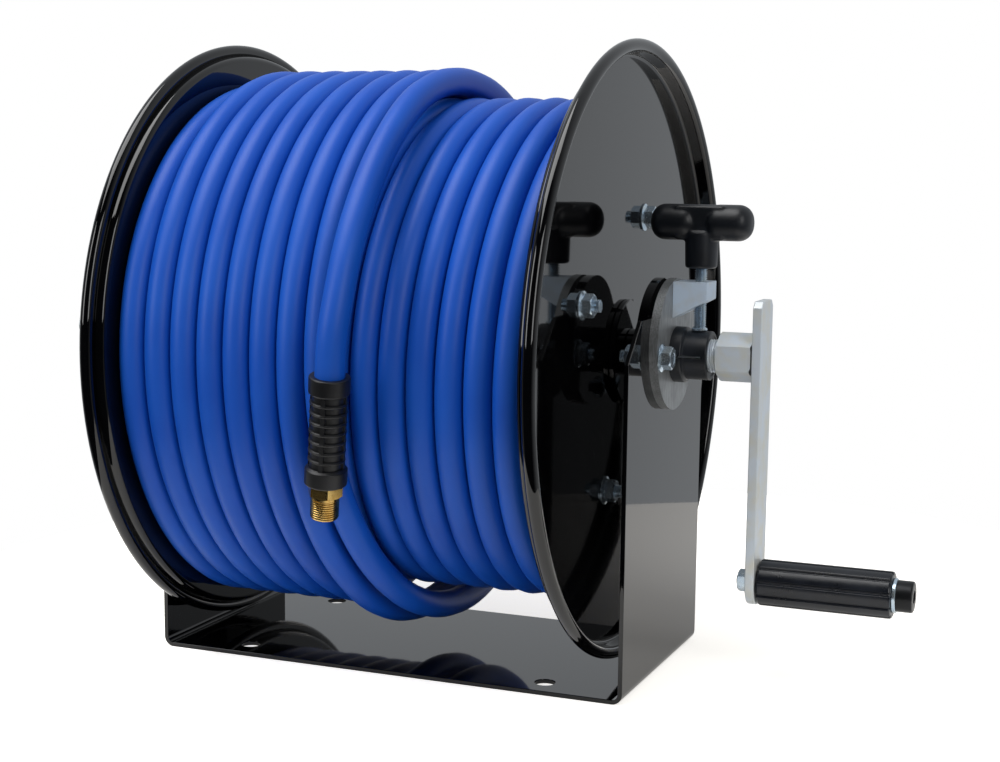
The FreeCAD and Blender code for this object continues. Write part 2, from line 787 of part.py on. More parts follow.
def make_handle_washer():
    start = grip_start() + grip_length + running_fit
    return ring(start, start + washer - 2 * running_fit, washer_d / 2, pivot_d / 2 + running_fit, 0, -crank_r)


# Swivel
def make_swivel_body():
    end = swivel_start + swivel_length
    round_end = end - swivel_hex
    body = rod(-round_end, -swivel_start, swivel_d / 2)
    body = body.fuse([hexagon(-end, -round_end, swivel_flats), rod(-end - inlet_length, -end, inlet_d / 2)])
    body = body.removeSplitter()
    body = body.cut(rod(-shaft_left - seat_gap, -swivel_start, bore_r))
    body = body.cut(rod(-end - inlet_length, -shaft_left, inlet_bore / 2))
    seal_end = shaft_left - seal_from_end
    body = body.cut(rod(-seal_end, -seal_end + seal_section, bore_r + seal_section))
    return body.cut(rod(-swivel_start - ring_thick, -swivel_start, ring_d / 2 + running_fit))


def make_swivel_seal():
    seal_end = shaft_left - seal_from_end
    return ring(-seal_end, -seal_end + seal_section, bore_r + seal_section, bore_r)


def make_swivel_ring():
    return ring(-swivel_start - ring_thick, -swivel_start, ring_d / 2, bore_r)


save(make_frame(), "u_frame")
save(bearing_plate(half_width, plate_face), "drag_plate")
save(bearing_plate(inner_plate_face, upright_inner), "bearing_plate_right")
save(mirrored(bearing_plate(inner_plate_face, upright_inner)), "bearing_plate_left")
save(make_split_hub(), "split_hub")
save(make_left_bush(), "bush_left")
save(make_wedge_bracket(), "wedge_bracket")
save(Part.makeCompound(make_plate_bolts(1) + make_plate_bolts(-1)), "plate_bolts")
save(Part.makeCompound(make_plate_nuts(1) + make_plate_nuts(-1)), "plate_nuts")

save(make_drag_pad(), "drag_pad")
save(make_drag_screw(), "drag_screw")
save(make_tee(), "t_handle")

flange = make_flange()
save(flange, "flange_right")
save(mirrored(flange), "flange_left")
save(make_barrel(), "barrel")
save(make_shaft(), "shaft")
save(ring(web_face, web_face + hub_disc, hub_disc_r, shaft_r), "hub_disc_right")
save(ring(-web_face - hub_disc, -web_face, hub_disc_r, shaft_r), "hub_disc_left")
right_spacer = ring(web_face + hub_disc, web_face + hub_disc + spacer, spacer_r, shaft_r)
save(right_spacer, "spacer_right")
save(mirrored(right_spacer), "spacer_left")
save(ring(-collar_start - set_collar, -collar_start, set_collar_d / 2, shaft_r), "set_collar")

tie_end = web_face + m8_nut + tip_out
save(Part.makeCompound([rod(-tie_end, tie_end, m8_r, y, z) for y, z in tie_places()]), "tie_rods")
tie_nuts = [flange_nut(side * web_face, side, y, z) for side in (-1, 1) for y, z in tie_places()]
save(Part.makeCompound(tie_nuts), "tie_nuts")

save(make_riser(), "riser_elbow")
save(make_inner_fitting(), "hose_inner_fitting")
save(make_lead(), "hose_lead")
save(make_core(), "hose_core")

lower_path, lower_bend = hose_path(lower_stations())
upper_path, upper_bend = hose_path(upper_stations(), end_axis_point(0), Vector(end_direction).normalize())
for name, path, bend in (("hose_lower_turns", lower_path, lower_bend), ("hose_upper_turns", upper_path, upper_bend)):
    tube = tube_along(path)
    section = hose_facets / 2 * hose_r ** 2 * math.sin(2 * math.pi / hose_facets)
    print(name, "smallest bend radius", round(bend, 1), "least gap", round(least_gap(path), 2),
          "volume share", round(tube.Volume / (section * path.Length), 4), "length", round(path.Length))
    save(tube, name)

save(make_end_sleeve(), "hose_end_sleeve")
save(make_end_ferrule(), "hose_end_ferrule")
save(make_end_fitting(), "hose_end_fitting")

save(make_coupling(), "crank_coupling")
save(make_arm(), "crank_arm")
save(make_handle_screw(), "handle_screw")
save(make_handle_nut(), "handle_nut")
save(make_handle_washer(), "handle_washer")
save(make_grip(), "handle_grip")

save(make_swivel_body(), "swivel_body")
save(make_swivel_seal(), "swivel_seal")
save(make_swivel_ring(), "swivel_ring")
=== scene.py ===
import math

import bpy
from mathutils import Matrix, Vector


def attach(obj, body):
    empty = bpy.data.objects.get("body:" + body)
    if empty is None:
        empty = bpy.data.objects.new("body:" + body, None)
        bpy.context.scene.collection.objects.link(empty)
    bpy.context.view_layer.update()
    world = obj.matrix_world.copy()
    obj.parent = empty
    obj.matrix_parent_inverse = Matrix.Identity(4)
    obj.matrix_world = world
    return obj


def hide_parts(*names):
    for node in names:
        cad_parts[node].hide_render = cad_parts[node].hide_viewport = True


# Hand-cranked hose reel, in metres. The drum turns about X, the crank is on +X and -Y is the front.
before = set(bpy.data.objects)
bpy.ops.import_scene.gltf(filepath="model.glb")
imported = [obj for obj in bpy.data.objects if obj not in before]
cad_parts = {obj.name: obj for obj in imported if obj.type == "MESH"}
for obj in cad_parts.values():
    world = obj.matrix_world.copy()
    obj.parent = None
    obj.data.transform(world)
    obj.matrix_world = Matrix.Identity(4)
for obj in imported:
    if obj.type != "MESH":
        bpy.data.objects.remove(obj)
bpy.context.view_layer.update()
print("frame loaded,", len(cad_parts), "nodes")

mm = 0.001
axisHeight = 212.5          # mm from the floor to the drum's axis
roundSteps = 96             # faces round a turned piece
# x of faces that several pieces meet, and sizes that they share, in mm
plateInside, sheetInside, sheetOutside, dragFace = 157.5, 163.5, 166.5, 172.0
webFace, discFace = 137.0, 141.0
shaftRadius, shaftHole, sleeveRadius, hubHole, crankRadius = 10.65, 10.7, 13.5, 13.55, 145.0
plateBolt = {"y": 34.0, "z": 1.0, "hole": 4.3}
screwHole = 4.05            # clears an M8 screw
towardsCrank = Vector((1, 0, 0))
upwards = Vector((0, 0, 1))


# Places are given in mm from the middle of the drum's axis
def place(x, y=0.0, z=0.0):
    return Vector((x, y, z + axisHeight)) * mm


def deselectAll():
    if bpy.context.object and bpy.context.object.mode != "OBJECT":
        bpy.ops.object.mode_set(mode="OBJECT")
    bpy.ops.object.select_all(action="DESELECT")


def makeActive(piece):
    deselectAll()
    piece.select_set(True)
    bpy.context.view_layer.objects.active = piece


def editAll(piece):
    makeActive(piece)
    bpy.ops.object.mode_set(mode="EDIT")
    bpy.ops.mesh.select_all(action="SELECT")


def closeMesh(piece):
    editAll(piece)
    bpy.ops.mesh.remove_doubles(threshold=0.004 * mm)
    bpy.ops.mesh.normals_make_consistent(inside=False)
    bpy.ops.object.mode_set(mode="OBJECT")


def placeInMesh(piece):
    makeActive(piece)
    bpy.ops.object.transform_apply(location=True, rotation=True, scale=True)


def modify(piece, kind, **settings):
    modifier = piece.modifiers.new(kind.title(), kind)
    for key, value in settings.items():
        setattr(modifier, key, value)
    makeActive(piece)
    bpy.ops.object.modifier_apply(modifier=modifier.name)


def soften(piece, width, segments=2, angle=35):
    modify(piece, "BEVEL", width=width * mm, segments=segments, limit_method="ANGLE",
           angle_limit=math.radians(angle))


# Cuts with another piece, or joins it in, and takes the other one away
def combine(piece, other, operation="DIFFERENCE"):
    modify(piece, "BOOLEAN", object=other, operation=operation, solver="EXACT")
    bpy.data.objects.remove(other)


def copyPiece(piece, name, matrix):
    copied = piece.copy()
    copied.data = piece.data.copy()
    copied.name = name
    bpy.context.scene.collection.objects.link(copied)
    copied.matrix_world = matrix
    placeInMesh(copied)
    return copied


def joinAll(name, pieces):
    makeActive(pieces[0])
    for piece in pieces:
        piece.select_set(True)
    bpy.ops.object.join()
    bpy.context.object.name = name
    return bpy.context.object


# A piece made along the drum's axis from x = 0 goes to another start and direction
def sendTo(piece, start, direction, roll=0.0):
    turn = towardsCrank.rotation_difference(direction).to_matrix().to_4x4()
    spin = Matrix.Rotation(math.radians(roll), 4, towardsCrank)
    piece.matrix_world = Matrix.Translation(start) @ turn @ spin @ Matrix.Translation(-place(0))
    placeInMesh(piece)


# Edges drawn from point to point, starting from one vertex
def drawOutline(name, points, closed=True):
    deselectAll()
    bpy.ops.mesh.primitive_plane_add(size=mm, location=points[0])
    piece = bpy.context.object
    piece.name = name
    bpy.ops.object.mode_set(mode="EDIT")
    bpy.ops.mesh.merge(type="CENTER")
    following = points[1:] + points[:1] if closed else points[1:]
    for before, after in zip(points, following):
        bpy.ops.mesh.extrude_vertices_move(TRANSFORM_OT_translate={"value": after - before})
    bpy.ops.object.mode_set(mode="OBJECT")
    placeInMesh(piece)
    editAll(piece)
    bpy.ops.mesh.remove_doubles(threshold=0.004 * mm)
    return piece


# Turned on an axis along X: the outline is pairs of x and radius. One that starts on the axis stays open.
def turned(name, outline, y=0.0, z=0.0, faces=roundSteps):
    piece = drawOutline(name, [place(x, y, z + r) for x, r in outline], closed=outline[0][1] > 0)
    bpy.ops.mesh.spin(steps=faces, angle=2 * math.pi, center=place(0, y, z), axis=towardsCrank)
    closeMesh(piece)
    return piece


# A flat outline given as world points, drawn out along a vector
def drawnOut(name, points, reach):
    piece = drawOutline(name, points)
    bpy.ops.mesh.edge_face_add()
    bpy.ops.mesh.extrude_region_move(TRANSFORM_OT_translate={"value": reach})
    closeMesh(piece)
    return piece


# Corners given as x and z, drawn out by half to each side of the middle
def across(name, corners, half):
    return drawnOut(name, [place(x, -half, z) for x, z in corners], Vector((0, 2 * half, 0)) * mm)


def rectangle(x0, x1, z0, z1):
    return [(x0, z0), (x1, z0), (x1, z1), (x0, z1)]


def arc(x, r, radius, start, end, count=8):
    points = []
    for i in range(count + 1):
        turn = math.radians(start + (end - start) * i / count)
        points.append((x + radius * math.cos(turn), r + radius * math.sin(turn)))
    return points


def ringOutline(x0, x1, outer, inner, corner=0.0):
    return [(x0, inner), (x0, outer - corner), (x0 + corner, outer), (x1 - corner, outer),
            (x1, outer - corner), (x1, inner)]


def rodOutline(x0, x1, radius, corner=0.0):
    return ringOutline(x0, x1, radius, 0, corner)


def turnedRod(name, x0, x1, radius, y=0.0, z=0.0, faces=48):
    return turned(name, rodOutline(x0, x1, radius), y, z, faces)


def drill(piece, x0, x1, radius, y=0.0, z=0.0, faces=48):
    combine(piece, turnedRod("cutter", x0, x1, radius, y, z, faces))


# The hub's hole and the bolt holes beside it
def drillBearing(piece, x0, x1):
    drill(piece, x0, x1, hubHole, faces=64)
    for y in (-plateBolt["y"], plateBolt["y"]):
        drill(piece, x0, x1, plateBolt["hole"], y, plateBolt["z"], faces=24)


# Keeps what lies inside a turned outline
def trim(piece, outline, y=0.0, z=0.0):
    combine(piece, turned("envelope", outline, y, z), "INTERSECT")


# A piece made along the drum's axis stands up at x, from height z
def standUp(piece, x, z=0.0):
    sendTo(piece, place(x, 0, z), upwards)


# A hexagon bar with two corners up and down
def hexagonBar(name, x0, x1, flats, y=0.0, z=0.0):
    corner = flats / math.sqrt(3)
    points = []
    for i in range(6):
        turn = math.radians(60 * i + 90)
        points.append(place(x0, y + corner * math.cos(turn), z + corner * math.sin(turn)))
    return drawnOut(name, points, Vector((x1 - x0, 0, 0)) * mm)


# A real screw thread from x0 to x1, closed at both ends
def threaded(name, x0, x1, outer, core, pitch, faces=32):
    profile = [(0, core), (0.3, outer), (0.5, outer), (0.8, core), (1, core)]
    start = x0 - 2 * pitch
    piece = drawOutline(name, [place(start + share * pitch, 0, r) for share, r in profile], closed=False)
    bpy.ops.object.mode_set(mode="OBJECT")
    piece.data.transform(Matrix.Translation(-place(0)))
    piece.location = place(0)
    modify(piece, "SCREW", axis="X", angle=2 * math.pi, screw_offset=pitch * mm, steps=faces, render_steps=faces,
           iterations=math.ceil((x1 - x0) / pitch) + 3, use_merge_vertices=True, merge_threshold=0.002 * mm)
    placeInMesh(piece)
    editAll(piece)
    bpy.ops.mesh.remove_doubles(threshold=0.002 * mm)
    bpy.ops.mesh.bisect(plane_co=place(x0), plane_no=towardsCrank, use_fill=True, clear_inner=True)
    bpy.ops.mesh.select_all(action="SELECT")
    bpy.ops.mesh.bisect(plane_co=place(x1), plane_no=towardsCrank, use_fill=True, clear_outer=True)
    closeMesh(piece)
    return piece


def finishPiece(piece, body, slot, material, *nodes, smoothAngle=32):
    placeInMesh(piece)
    closeMesh(piece)
    makeActive(piece)
    bpy.ops.object.shade_smooth_by_angle(angle=math.radians(smoothAngle))
    # flat faces stay flat beside their rounds
    modify(piece, "WEIGHTED_NORMAL", mode="FACE_AREA", weight=100, keep_sharp=True)
    piece.data.name = piece.name
    piece.data.materials.clear()
    piece.data.materials.append(material)
    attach(piece, body)
    if nodes:
        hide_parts(*nodes)


# Materials
def linear(hexColour):
    channels = []
    for i in (1, 3, 5):
        value = int(hexColour[i:i + 2], 16) / 255
        channels.append(value / 12.92 if value <= 0.04045 else ((value + 0.055) / 1.055) ** 2.4)
    return (*channels, 1.0)


def addNode(tree, kind, settings=None, links=None):
    node = tree.nodes.new("ShaderNode" + kind)
    for key, value in (settings or {}).items():
        if isinstance(key, int) or key in node.inputs:
            node.inputs[key].default_value = value
        else:
            setattr(node, key, value)
    for key, source in (links or {}).items():
        tree.links.new(source, node.inputs[key])
    return node


def startMaterial(name, **sockets):
    material = bpy.data.materials.new(name)
    material.use_nodes = True
    for key, value in sockets.items():
        material.node_tree.nodes["Principled BSDF"].inputs[key.replace("_", " ")].default_value = value
    return material, material.node_tree


def wire(tree, **outputs):
    for key, output in outputs.items():
        tree.links.new(output, tree.nodes["Principled BSDF"].inputs[key.replace("_", " ")])


def noise(tree, sizeMm, detail, stretch=None):
    where = addNode(tree, "TexCoord").outputs["Object"]
    if stretch:
        where = addNode(tree, "Mapping", {"Scale": stretch}, {"Vector": where}).outputs["Vector"]
    return addNode(tree, "TexNoise", {"Scale": 1 / (sizeMm * mm), "Detail": detail}, {"Vector": where}).outputs["Fac"]


def ramp(tree, factor, *stops):
    node = addNode(tree, "ValToRGB", links={"Fac": factor})
    for element, (position, colour) in zip(node.color_ramp.elements, stops):
        element.position, element.color = position, linear(colour)
    return node.outputs["Color"]


def spread(tree, factor, low, high):
    return addNode(tree, "MapRange", {"To Min": low, "To Max": high}, {"Value": factor}).outputs["Result"]


def relief(tree, height, strength, depthMm):
    bump = addNode(tree, "Bump", {"Strength": strength, "Distance": depthMm * mm}, {"Height": height})
    return bump.outputs["Normal"]


# Two colours in patches over a fine grain. The roughness follows the patches, or else the grain.
def patchyMaterial(name, colours, stops, patchMm, detail, roughness, grainMm=0.5, grainDetail=3.0, bump=0.15,
                   grainDeep=0.05, roughGrain=False, **sockets):
    material, tree = startMaterial(name, **sockets)
    patches = noise(tree, patchMm, detail)
    grain = noise(tree, grainMm, grainDetail)
    wire(tree, Base_Color=ramp(tree, patches, *zip(stops, colours)),
         Roughness=spread(tree, grain if roughGrain else patches, *roughness),
         Normal=relief(tree, grain, bump, grainDeep))
    return material


# Zinc plate on steel: cool silver with faint straw-coloured tints
def zincMaterial(name, cool, straw, tintMm, roughness, metallic):
    return patchyMaterial(name, (cool, straw), (0.42, 0.72), tintMm, 2.0, (roughness - 0.08, roughness + 0.12),
                          bump=0.12, roughGrain=True, Metallic=metallic)


# Moulded nylon and rubber, and blackened steel: dark satin with a fine texture
def satinMaterial(name, colour, worn, roughness, grainMm, grainDeep, metallic=0.0):
    return patchyMaterial(name, (colour, worn), (0.45, 0.72), 16, 4.0, (roughness - 0.08, roughness + 0.12),
                          grainMm, grainDeep=grainDeep, IOR=1.5, Metallic=metallic)


# Ground hot-rolled steel plate, oiled: warm gray with fine scratches that run one way
def groundSteelMaterial():
    look = {"light": "#A9ACAE", "dark": "#6D6F70", "scratchMm": 0.6, "scratchDeep": 0.05,
            "stretch": (1.0, 1.0, 0.06), "cloudMm": 18}
    material, tree = startMaterial("ground hot-rolled steel", Metallic=0.6, Roughness=0.45)
    scratches = noise(tree, look["scratchMm"], 4.0, look["stretch"])
    clouds = noise(tree, look["cloudMm"], 3.0)
    both = addNode(tree, "Math", {"operation": "MULTIPLY"}, {0: scratches, 1: clouds})
    wire(tree, Base_Color=ramp(tree, both.outputs["Value"], (0.12, look["dark"]), (0.42, look["light"])),
         Normal=relief(tree, scratches, 0.15, look["scratchDeep"]))
    return material


# Smooth extruded rubber cover: satin, a little duller and lighter where it has been handled
hoseRubber = patchyMaterial("smooth blue hose rubber", ("#094AAE", "#0E52B6"), (0.4, 0.75), 70, 3.0, (0.38, 0.5),
                            grainMm=0.9, grainDetail=2.0, bump=0.06, grainDeep=0.1, IOR=1.5, Specular_IOR_Level=0.3)
# Stoved enamel on steel: deep gloss black that mirrors the room, with a faint orange peel
enamel = patchyMaterial("gloss black enamel on steel", ("#030304", "#060607"), (0.4, 0.7), 25, 6.0, (0.02, 0.06),
                        grainMm=3.0, grainDetail=1.0, bump=0.02, IOR=1.5)
# Turned brass: yellow metal, smooth, a little darker and duller in patches
brass = patchyMaterial("turned brass", ("#CDAF6E", "#A47F3C"), (0.4, 0.75), 7, 3.0, (0.12, 0.24), bump=0.0,
                       Metallic=1.0)
zinc = zincMaterial("bright zinc plate on steel", "#D9E2EB", "#DBDCD4", 14, 0.38, 0.3)
screwZinc = zincMaterial("blue zinc plate on screws", "#BED0E0", "#C9D2D4", 6, 0.22, 0.85)
bracketSteel = zincMaterial("dull zinc plate on cast steel", "#C4D4E6", "#C2CCD6", 9, 0.5, 0.2)
groundSteel = groundSteelMaterial()
oxide = satinMaterial("black oxide on screw steel", "#17181A", "#232427", 0.34, 0.5, 0.04, metallic=0.6)
nylon = satinMaterial("moulded black nylon", "#0C1016", "#141922", 0.4, 0.7, 0.1)
gripPlastic = satinMaterial("moulded black grip plastic", "#0E121A", "#151A24", 0.27, 0.9, 0.06)
sleeveRubber = satinMaterial("moulded black rubber", "#07080B", "#0C0D11", 0.4, 0.6, 0.08)
weldScale = satinMaterial("burnt weld scale", "#15171A", "#2A2C2E", 0.5, 0.8, 0.3)
print("materials made")


# The wound hose: the same stations as the solid one, in mm
hose = {"diameter": 18.0, "pitch": 18.45, "pointsPerTurn": 24,
        "lowerRadius": 154.5, "upperRadius": 173.0, "hiddenStep": 18.5, "endRise": 1.2,
        "besideWeb": 126.05, "lowerTurns": 7, "upperTurns": 6,
        # the loose last turn: turns on, mm to the right and mm outwards of a tight one
        "slack": [(0.25, 0, 0), (0.5, 12, 10.5), (0.75, 16, 4), (1.0, 18.45, 0), (1.25, 18.45, 0),
                  (1.5, 38, 5), (1.75, 41, 0.6), (2.0, 37.5, 0.5), (2.108, 41, 10.15)],
        "endRates": (7.5, 55.0),
        "endPoint": (22.6, -196.0, 1.9), "endDirection": (-0.135, 0.168, -0.976)}
hoseEnd = place(*hose["endPoint"])
hoseEndDirection = Vector(hose["endDirection"]).normalized()


def lowerStations():
    x, high, step = hose["besideWeb"], hose["lowerRadius"], hose["hiddenStep"]
    stations = [(-0.5, x, high - step), (-0.25, x, high - step / 2), (0.0, x, high)]
    for i in range(hose["lowerTurns"]):
        x -= hose["pitch"]
        stations += [(i + 0.25, x + hose["pitch"] / 2, high), (i + 0.5, x, high), (i + 1.0, x, high)]
    return stations


def upperStations():
    x = -hose["besideWeb"]
    low, high = hose["lowerRadius"], hose["upperRadius"]
    stations = [(-0.5, x, low - hose["endRise"]), (-0.25, x, low), (0.0, x, (low + high) / 2), (0.25, x, high)]
    for i in range(hose["upperTurns"]):
        stations += [(i + 0.5, x, high), (i + 0.75, x + hose["pitch"] / 2, high)]
        x += hose["pitch"]
        stations.append((i + 1.0, x, high))
    for along, right, out in hose["slack"]:
        stations.append((hose["upperTurns"] + along, x + right, high + out))
    return stations


# Change per turn at a station, without overshoot
def steadyRate(stations, i, column):
    if i == 0 or i == len(stations) - 1:
        return 0.0
    before, here, after = stations[i - 1:i + 2]
    rateIn = (here[column] - before[column]) / (here[0] - before[0])
    rateOut = (after[column] - here[column]) / (after[0] - here[0])
    return 2 * rateIn * rateOut / (rateIn + rateOut) if rateIn * rateOut > 0 else 0.0


# The turns' points, counted from the top over the front. A point stands a little outside its circle,
# because the spline cuts inside its points.
def turnPoints(stations, lastRates=(0.0, 0.0)):
    step = 1 / hose["pointsPerTurn"]
    outside = 1 / math.cos(math.pi * step)
    rates = [[steadyRate(stations, i, column) for column in (1, 2)] for i in range(len(stations))]
    rates[-1] = lastRates
    points = []
    turns, i = stations[0][0], 0
    while turns < stations[-1][0] + 0.001:
        while i < len(stations) - 2 and turns > stations[i + 1][0]:
            i += 1
        span = stations[i + 1][0] - stations[i][0]
        share = (turns - stations[i][0]) / span
        shifts = []
        for column in (1, 2):
            a, b = stations[i][column], stations[i + 1][column]
            rateA, rateB = rates[i][column - 1] * span, rates[i + 1][column - 1] * span
            shifts.append(a + rateA * share + (3 * (b - a) - 2 * rateA - rateB) * share ** 2
                          + (2 * (a - b) + rateA + rateB) * share ** 3)
        turn = 2 * math.pi * turns
        x, r = shifts[0], shifts[1] * outside
        points.append(place(x, -r * math.sin(turn), r * math.cos(turn)))
        turns += step
    return points


def hoseCurve(name, points, *nodes):
    curve = bpy.data.curves.new(name, "CURVE")
    curve.dimensions = "3D"
    curve.bevel_depth = hose["diameter"] / 2 * mm
    curve.bevel_resolution = 5
    curve.resolution_u = 5
    curve.use_fill_caps = True
    spline = curve.splines.new("NURBS")
    spline.points.add(len(points) - 1)
    for point, position in zip(spline.points, points):
        point.co = (*position, 1)
    spline.order_u = 3
    spline.use_endpoint_u = True
    piece = bpy.data.objects.new(name, curve)
    bpy.context.scene.collection.objects.link(piece)
    curve.materials.append(hoseRubber)
    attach(piece, "drum")
    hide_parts(*nodes)
    return piece


lowerPoints = turnPoints(lowerStations())
lowerHose = hoseCurve("hoseLowerTurns", lowerPoints, "hose_lower_turns")
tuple(lowerPoints[0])

# The last stretch leaves the winding and comes down into the sleeve, in mm from the drum's axis
lastStretch = [(25.9, -131.0, 132.0), (26.6, -158.0, 106.0), (27.4, -181.5, 75.0), (27.3, -194.0, 46.0),
               (25.4, -199.3, 23.0)]
upperPoints = turnPoints(upperStations(), hose["endRates"]) + [place(*point) for point in lastStretch]
upperPoints += [hoseEnd, hoseEnd + hoseEndDirection * hose["diameter"] * mm]
upperHose = hoseCurve("hoseUpperTurns", upperPoints, "hose_upper_turns")

# The first stretch, inside the drum: y and z of its points in the plane of the riser
leadX = -121
leadRoute = [(-34, 66), (-49, 66), (-60, 66), (-99, 60), (-117, 36), (-117, 8), (-117, -13)]
leadPoints = [place(leadX, y, z) for y, z in leadRoute]
leadHose = hoseCurve("hoseLead", leadPoints, "hose_lead")
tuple(leadPoints[0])
print("hose wound:", len(lowerPoints), "and", len(upperPoints), "points")


# The layers below show only as ridges at the bottom of the creases
def makeHiddenLayers():
    layers = {"inner": 107.8, "reach": 135.2, "rightLow": 126.7, "leftLow": 144.0, "free": 116.1, "foot": 3.0}
    pitch, foot = hose["pitch"], layers["leftLow"] - layers["foot"]
    outline = [(-layers["reach"], layers["inner"]), (-layers["reach"], foot), (-layers["free"], foot)]

    # turns side by side, from x to the left as far as the end
    def sideBySide(x, end, r):
        centres = []
        while x - pitch / 2 > end:
            centres.insert(0, (x, r))
            x -= pitch
        return centres

    left = sideBySide(hose["besideWeb"] - hose["lowerTurns"] * pitch - pitch, -layers["free"], hose["lowerRadius"])
    right = sideBySide(hose["besideWeb"] - pitch, left[-1][0], hose["lowerRadius"] - hose["hiddenStep"])
    for x, r in left + right:
        outline += arc(x, r, hose["diameter"] / 2, 165, 15)
    outline += [(layers["free"], layers["rightLow"]), (layers["reach"], layers["rightLow"]),
                (layers["reach"], layers["inner"])]
    piece = turned("hoseHiddenLayers", outline)
    finishPiece(piece, "drum", "blue_rubber", hoseRubber, "hose_core")


makeHiddenLayers()
print("hidden layers made")


# U frame of one bent sheet
def makeFrame():
    sheet = {"halfWidth": sheetOutside, "depth": 166.0, "thick": 3.0, "bend": 4.0, "rise": 26.0, "shoulder": 1.0,
             "topDepth": 126.0, "footHole": 6.75, "footX": 108.5, "footY": 64.5}
    w, t, top, floor = sheet["halfWidth"], sheet["thick"], sheet["rise"], -axisHeight
    outer = sheet["bend"] + t
    section = [(-w, top)] + arc(-w + outer, floor + outer, outer, 180, 270)
    section += arc(w - outer, floor + outer, outer, 270, 360) + [(w, top), (w - t, top)]
    section += arc(w - outer, floor + outer, sheet["bend"], 0, -90)
    section += arc(-w + outer, floor + outer, sheet["bend"], 270, 180) + [(-w + t, top)]
    half = sheet["depth"] / 2
    piece = across("frameSheet", section, half)
    run = half - sheet["topDepth"] / 2
    rise = top - sheet["shoulder"]
    for side in (-1, 1):
        editAll(piece)
        bpy.ops.mesh.bisect(plane_co=place(0, side * half, sheet["shoulder"]), plane_no=(0, side * rise, run),
                            use_fill=True, clear_outer=True)
    closeMesh(piece)
    for side in (-1, 1):
        x0, x1 = sorted((side * (w + 1), side * (w - t - 1)))
        drillBearing(piece, x0, x1)
        for y in (-sheet["footY"], sheet["footY"]):
            cutter = turnedRod("cutter", -t, 2 * t, sheet["footHole"])
            sendTo(cutter, Vector((side * sheet["footX"], y, 0)) * mm, upwards)
            combine(piece, cutter)
    soften(piece, 0.45)
    finishPiece(piece, "frame", "black_enamel", enamel, "u_frame")


# Pressed flange with a wired edge, opening outwards
def makeFlange(name, side, node):
    disc = {"hole": shaftHole, "inner": 135.5, "outer": webFace, "wall": 191.0, "corner": 2.5, "sheet": 1.5,
            "beadX": 145.0, "beadR": 195.8, "bead": 4.2}
    cornerX, cornerR = disc["outer"] + disc["corner"], disc["wall"] - disc["corner"]
    closing = math.degrees(math.asin((disc["bead"] - disc["sheet"]) / disc["bead"]))
    outline = [(disc["inner"], disc["hole"]), (disc["outer"], disc["hole"])]
    outline += arc(cornerX, cornerR, disc["corner"], 180, 90, 6)
    outline += arc(disc["beadX"], disc["beadR"], disc["bead"], -90, 180 + closing, 26)
    outline += arc(cornerX, cornerR, disc["corner"] + disc["sheet"], 90, 180, 8)
    piece = turned(name, [(side * x, r) for x, r in outline], faces=160)
    finishPiece(piece, "drum", "black_enamel", enamel, node, smoothAngle=40)


makeFrame()
makeFlange("flangeRight", 1, "flange_right")
makeFlange("flangeLeft", -1, "flange_left")
print("frame and flanges made")


# Plates, hub and bush that carry the shaft
def makeBearings():
    plate = {"radius": 42.5, "rise": 6.5}
    for name, x0, x1, slot, material, node in (
            ("dragPlate", sheetOutside, dragFace, "gray_steel", groundSteel, "drag_plate"),
            ("bearingPlateRight", plateInside, sheetInside, "black_enamel", enamel, "bearing_plate_right"),
            ("bearingPlateLeft", -sheetInside, -plateInside, "black_enamel", enamel, "bearing_plate_left")):
        piece = turnedRod(name, x0, x1, plate["radius"], 0, plate["rise"], faces=128)
        drillBearing(piece, x0 - 1, x1 + 1)
        soften(piece, 0.5)
        finishPiece(piece, "frame", slot, material, node)

    hub = {"collar": 18.0, "collarEnd": 180.0, "collarRound": 1.5, "barrel": 15.75, "end": 195.7, "endRound": 0.8,
           "slot": 1.6, "slotStart": 176.0, "slotEnd": 192.2, "slotReach": 20, "lip": 13.6, "lipDeep": 0.7}
    outline = [(plateInside, shaftHole), (plateInside, sleeveRadius), (dragFace, sleeveRadius),
               (dragFace, hub["collar"])]
    corner = hub["collarRound"]
    outline += arc(hub["collarEnd"] - corner, hub["collar"] - corner, corner, 90, 0, 4)
    outline += [(hub["collarEnd"], hub["barrel"] + 0.6), (hub["collarEnd"] + 0.6, hub["barrel"])]
    corner = hub["endRound"]
    outline += arc(hub["end"] - corner, hub["barrel"] - corner, corner, 90, 0, 4)
    lipEnd = hub["end"] - hub["lipDeep"]
    outline += [(hub["end"], hub["lip"]), (lipEnd, hub["lip"] - 0.4), (lipEnd, shaftHole)]
    piece = turned("splitHub", outline)
    gap = rectangle(hub["slotStart"], hub["slotEnd"], -hub["slot"] / 2, hub["slot"] / 2)
    combine(piece, across("cutter", gap, hub["slotReach"]))
    soften(piece, 0.2, 1, 50)
    finishPiece(piece, "frame", "black_nylon", nylon, "split_hub")

    bush = {"collar": 18.0, "end": 172.0, "corner": 1.2}
    outline = [(-plateInside, shaftHole), (-plateInside, sleeveRadius), (-sheetOutside, sleeveRadius),
               (-sheetOutside, bush["collar"])]
    corner = bush["corner"]
    outline += arc(-bush["end"] + corner, bush["collar"] - corner, corner, 90, 180, 4) + [(-bush["end"], shaftHole)]
    finishPiece(turned("bushLeft", outline), "frame", "black_nylon", nylon, "bush_left")


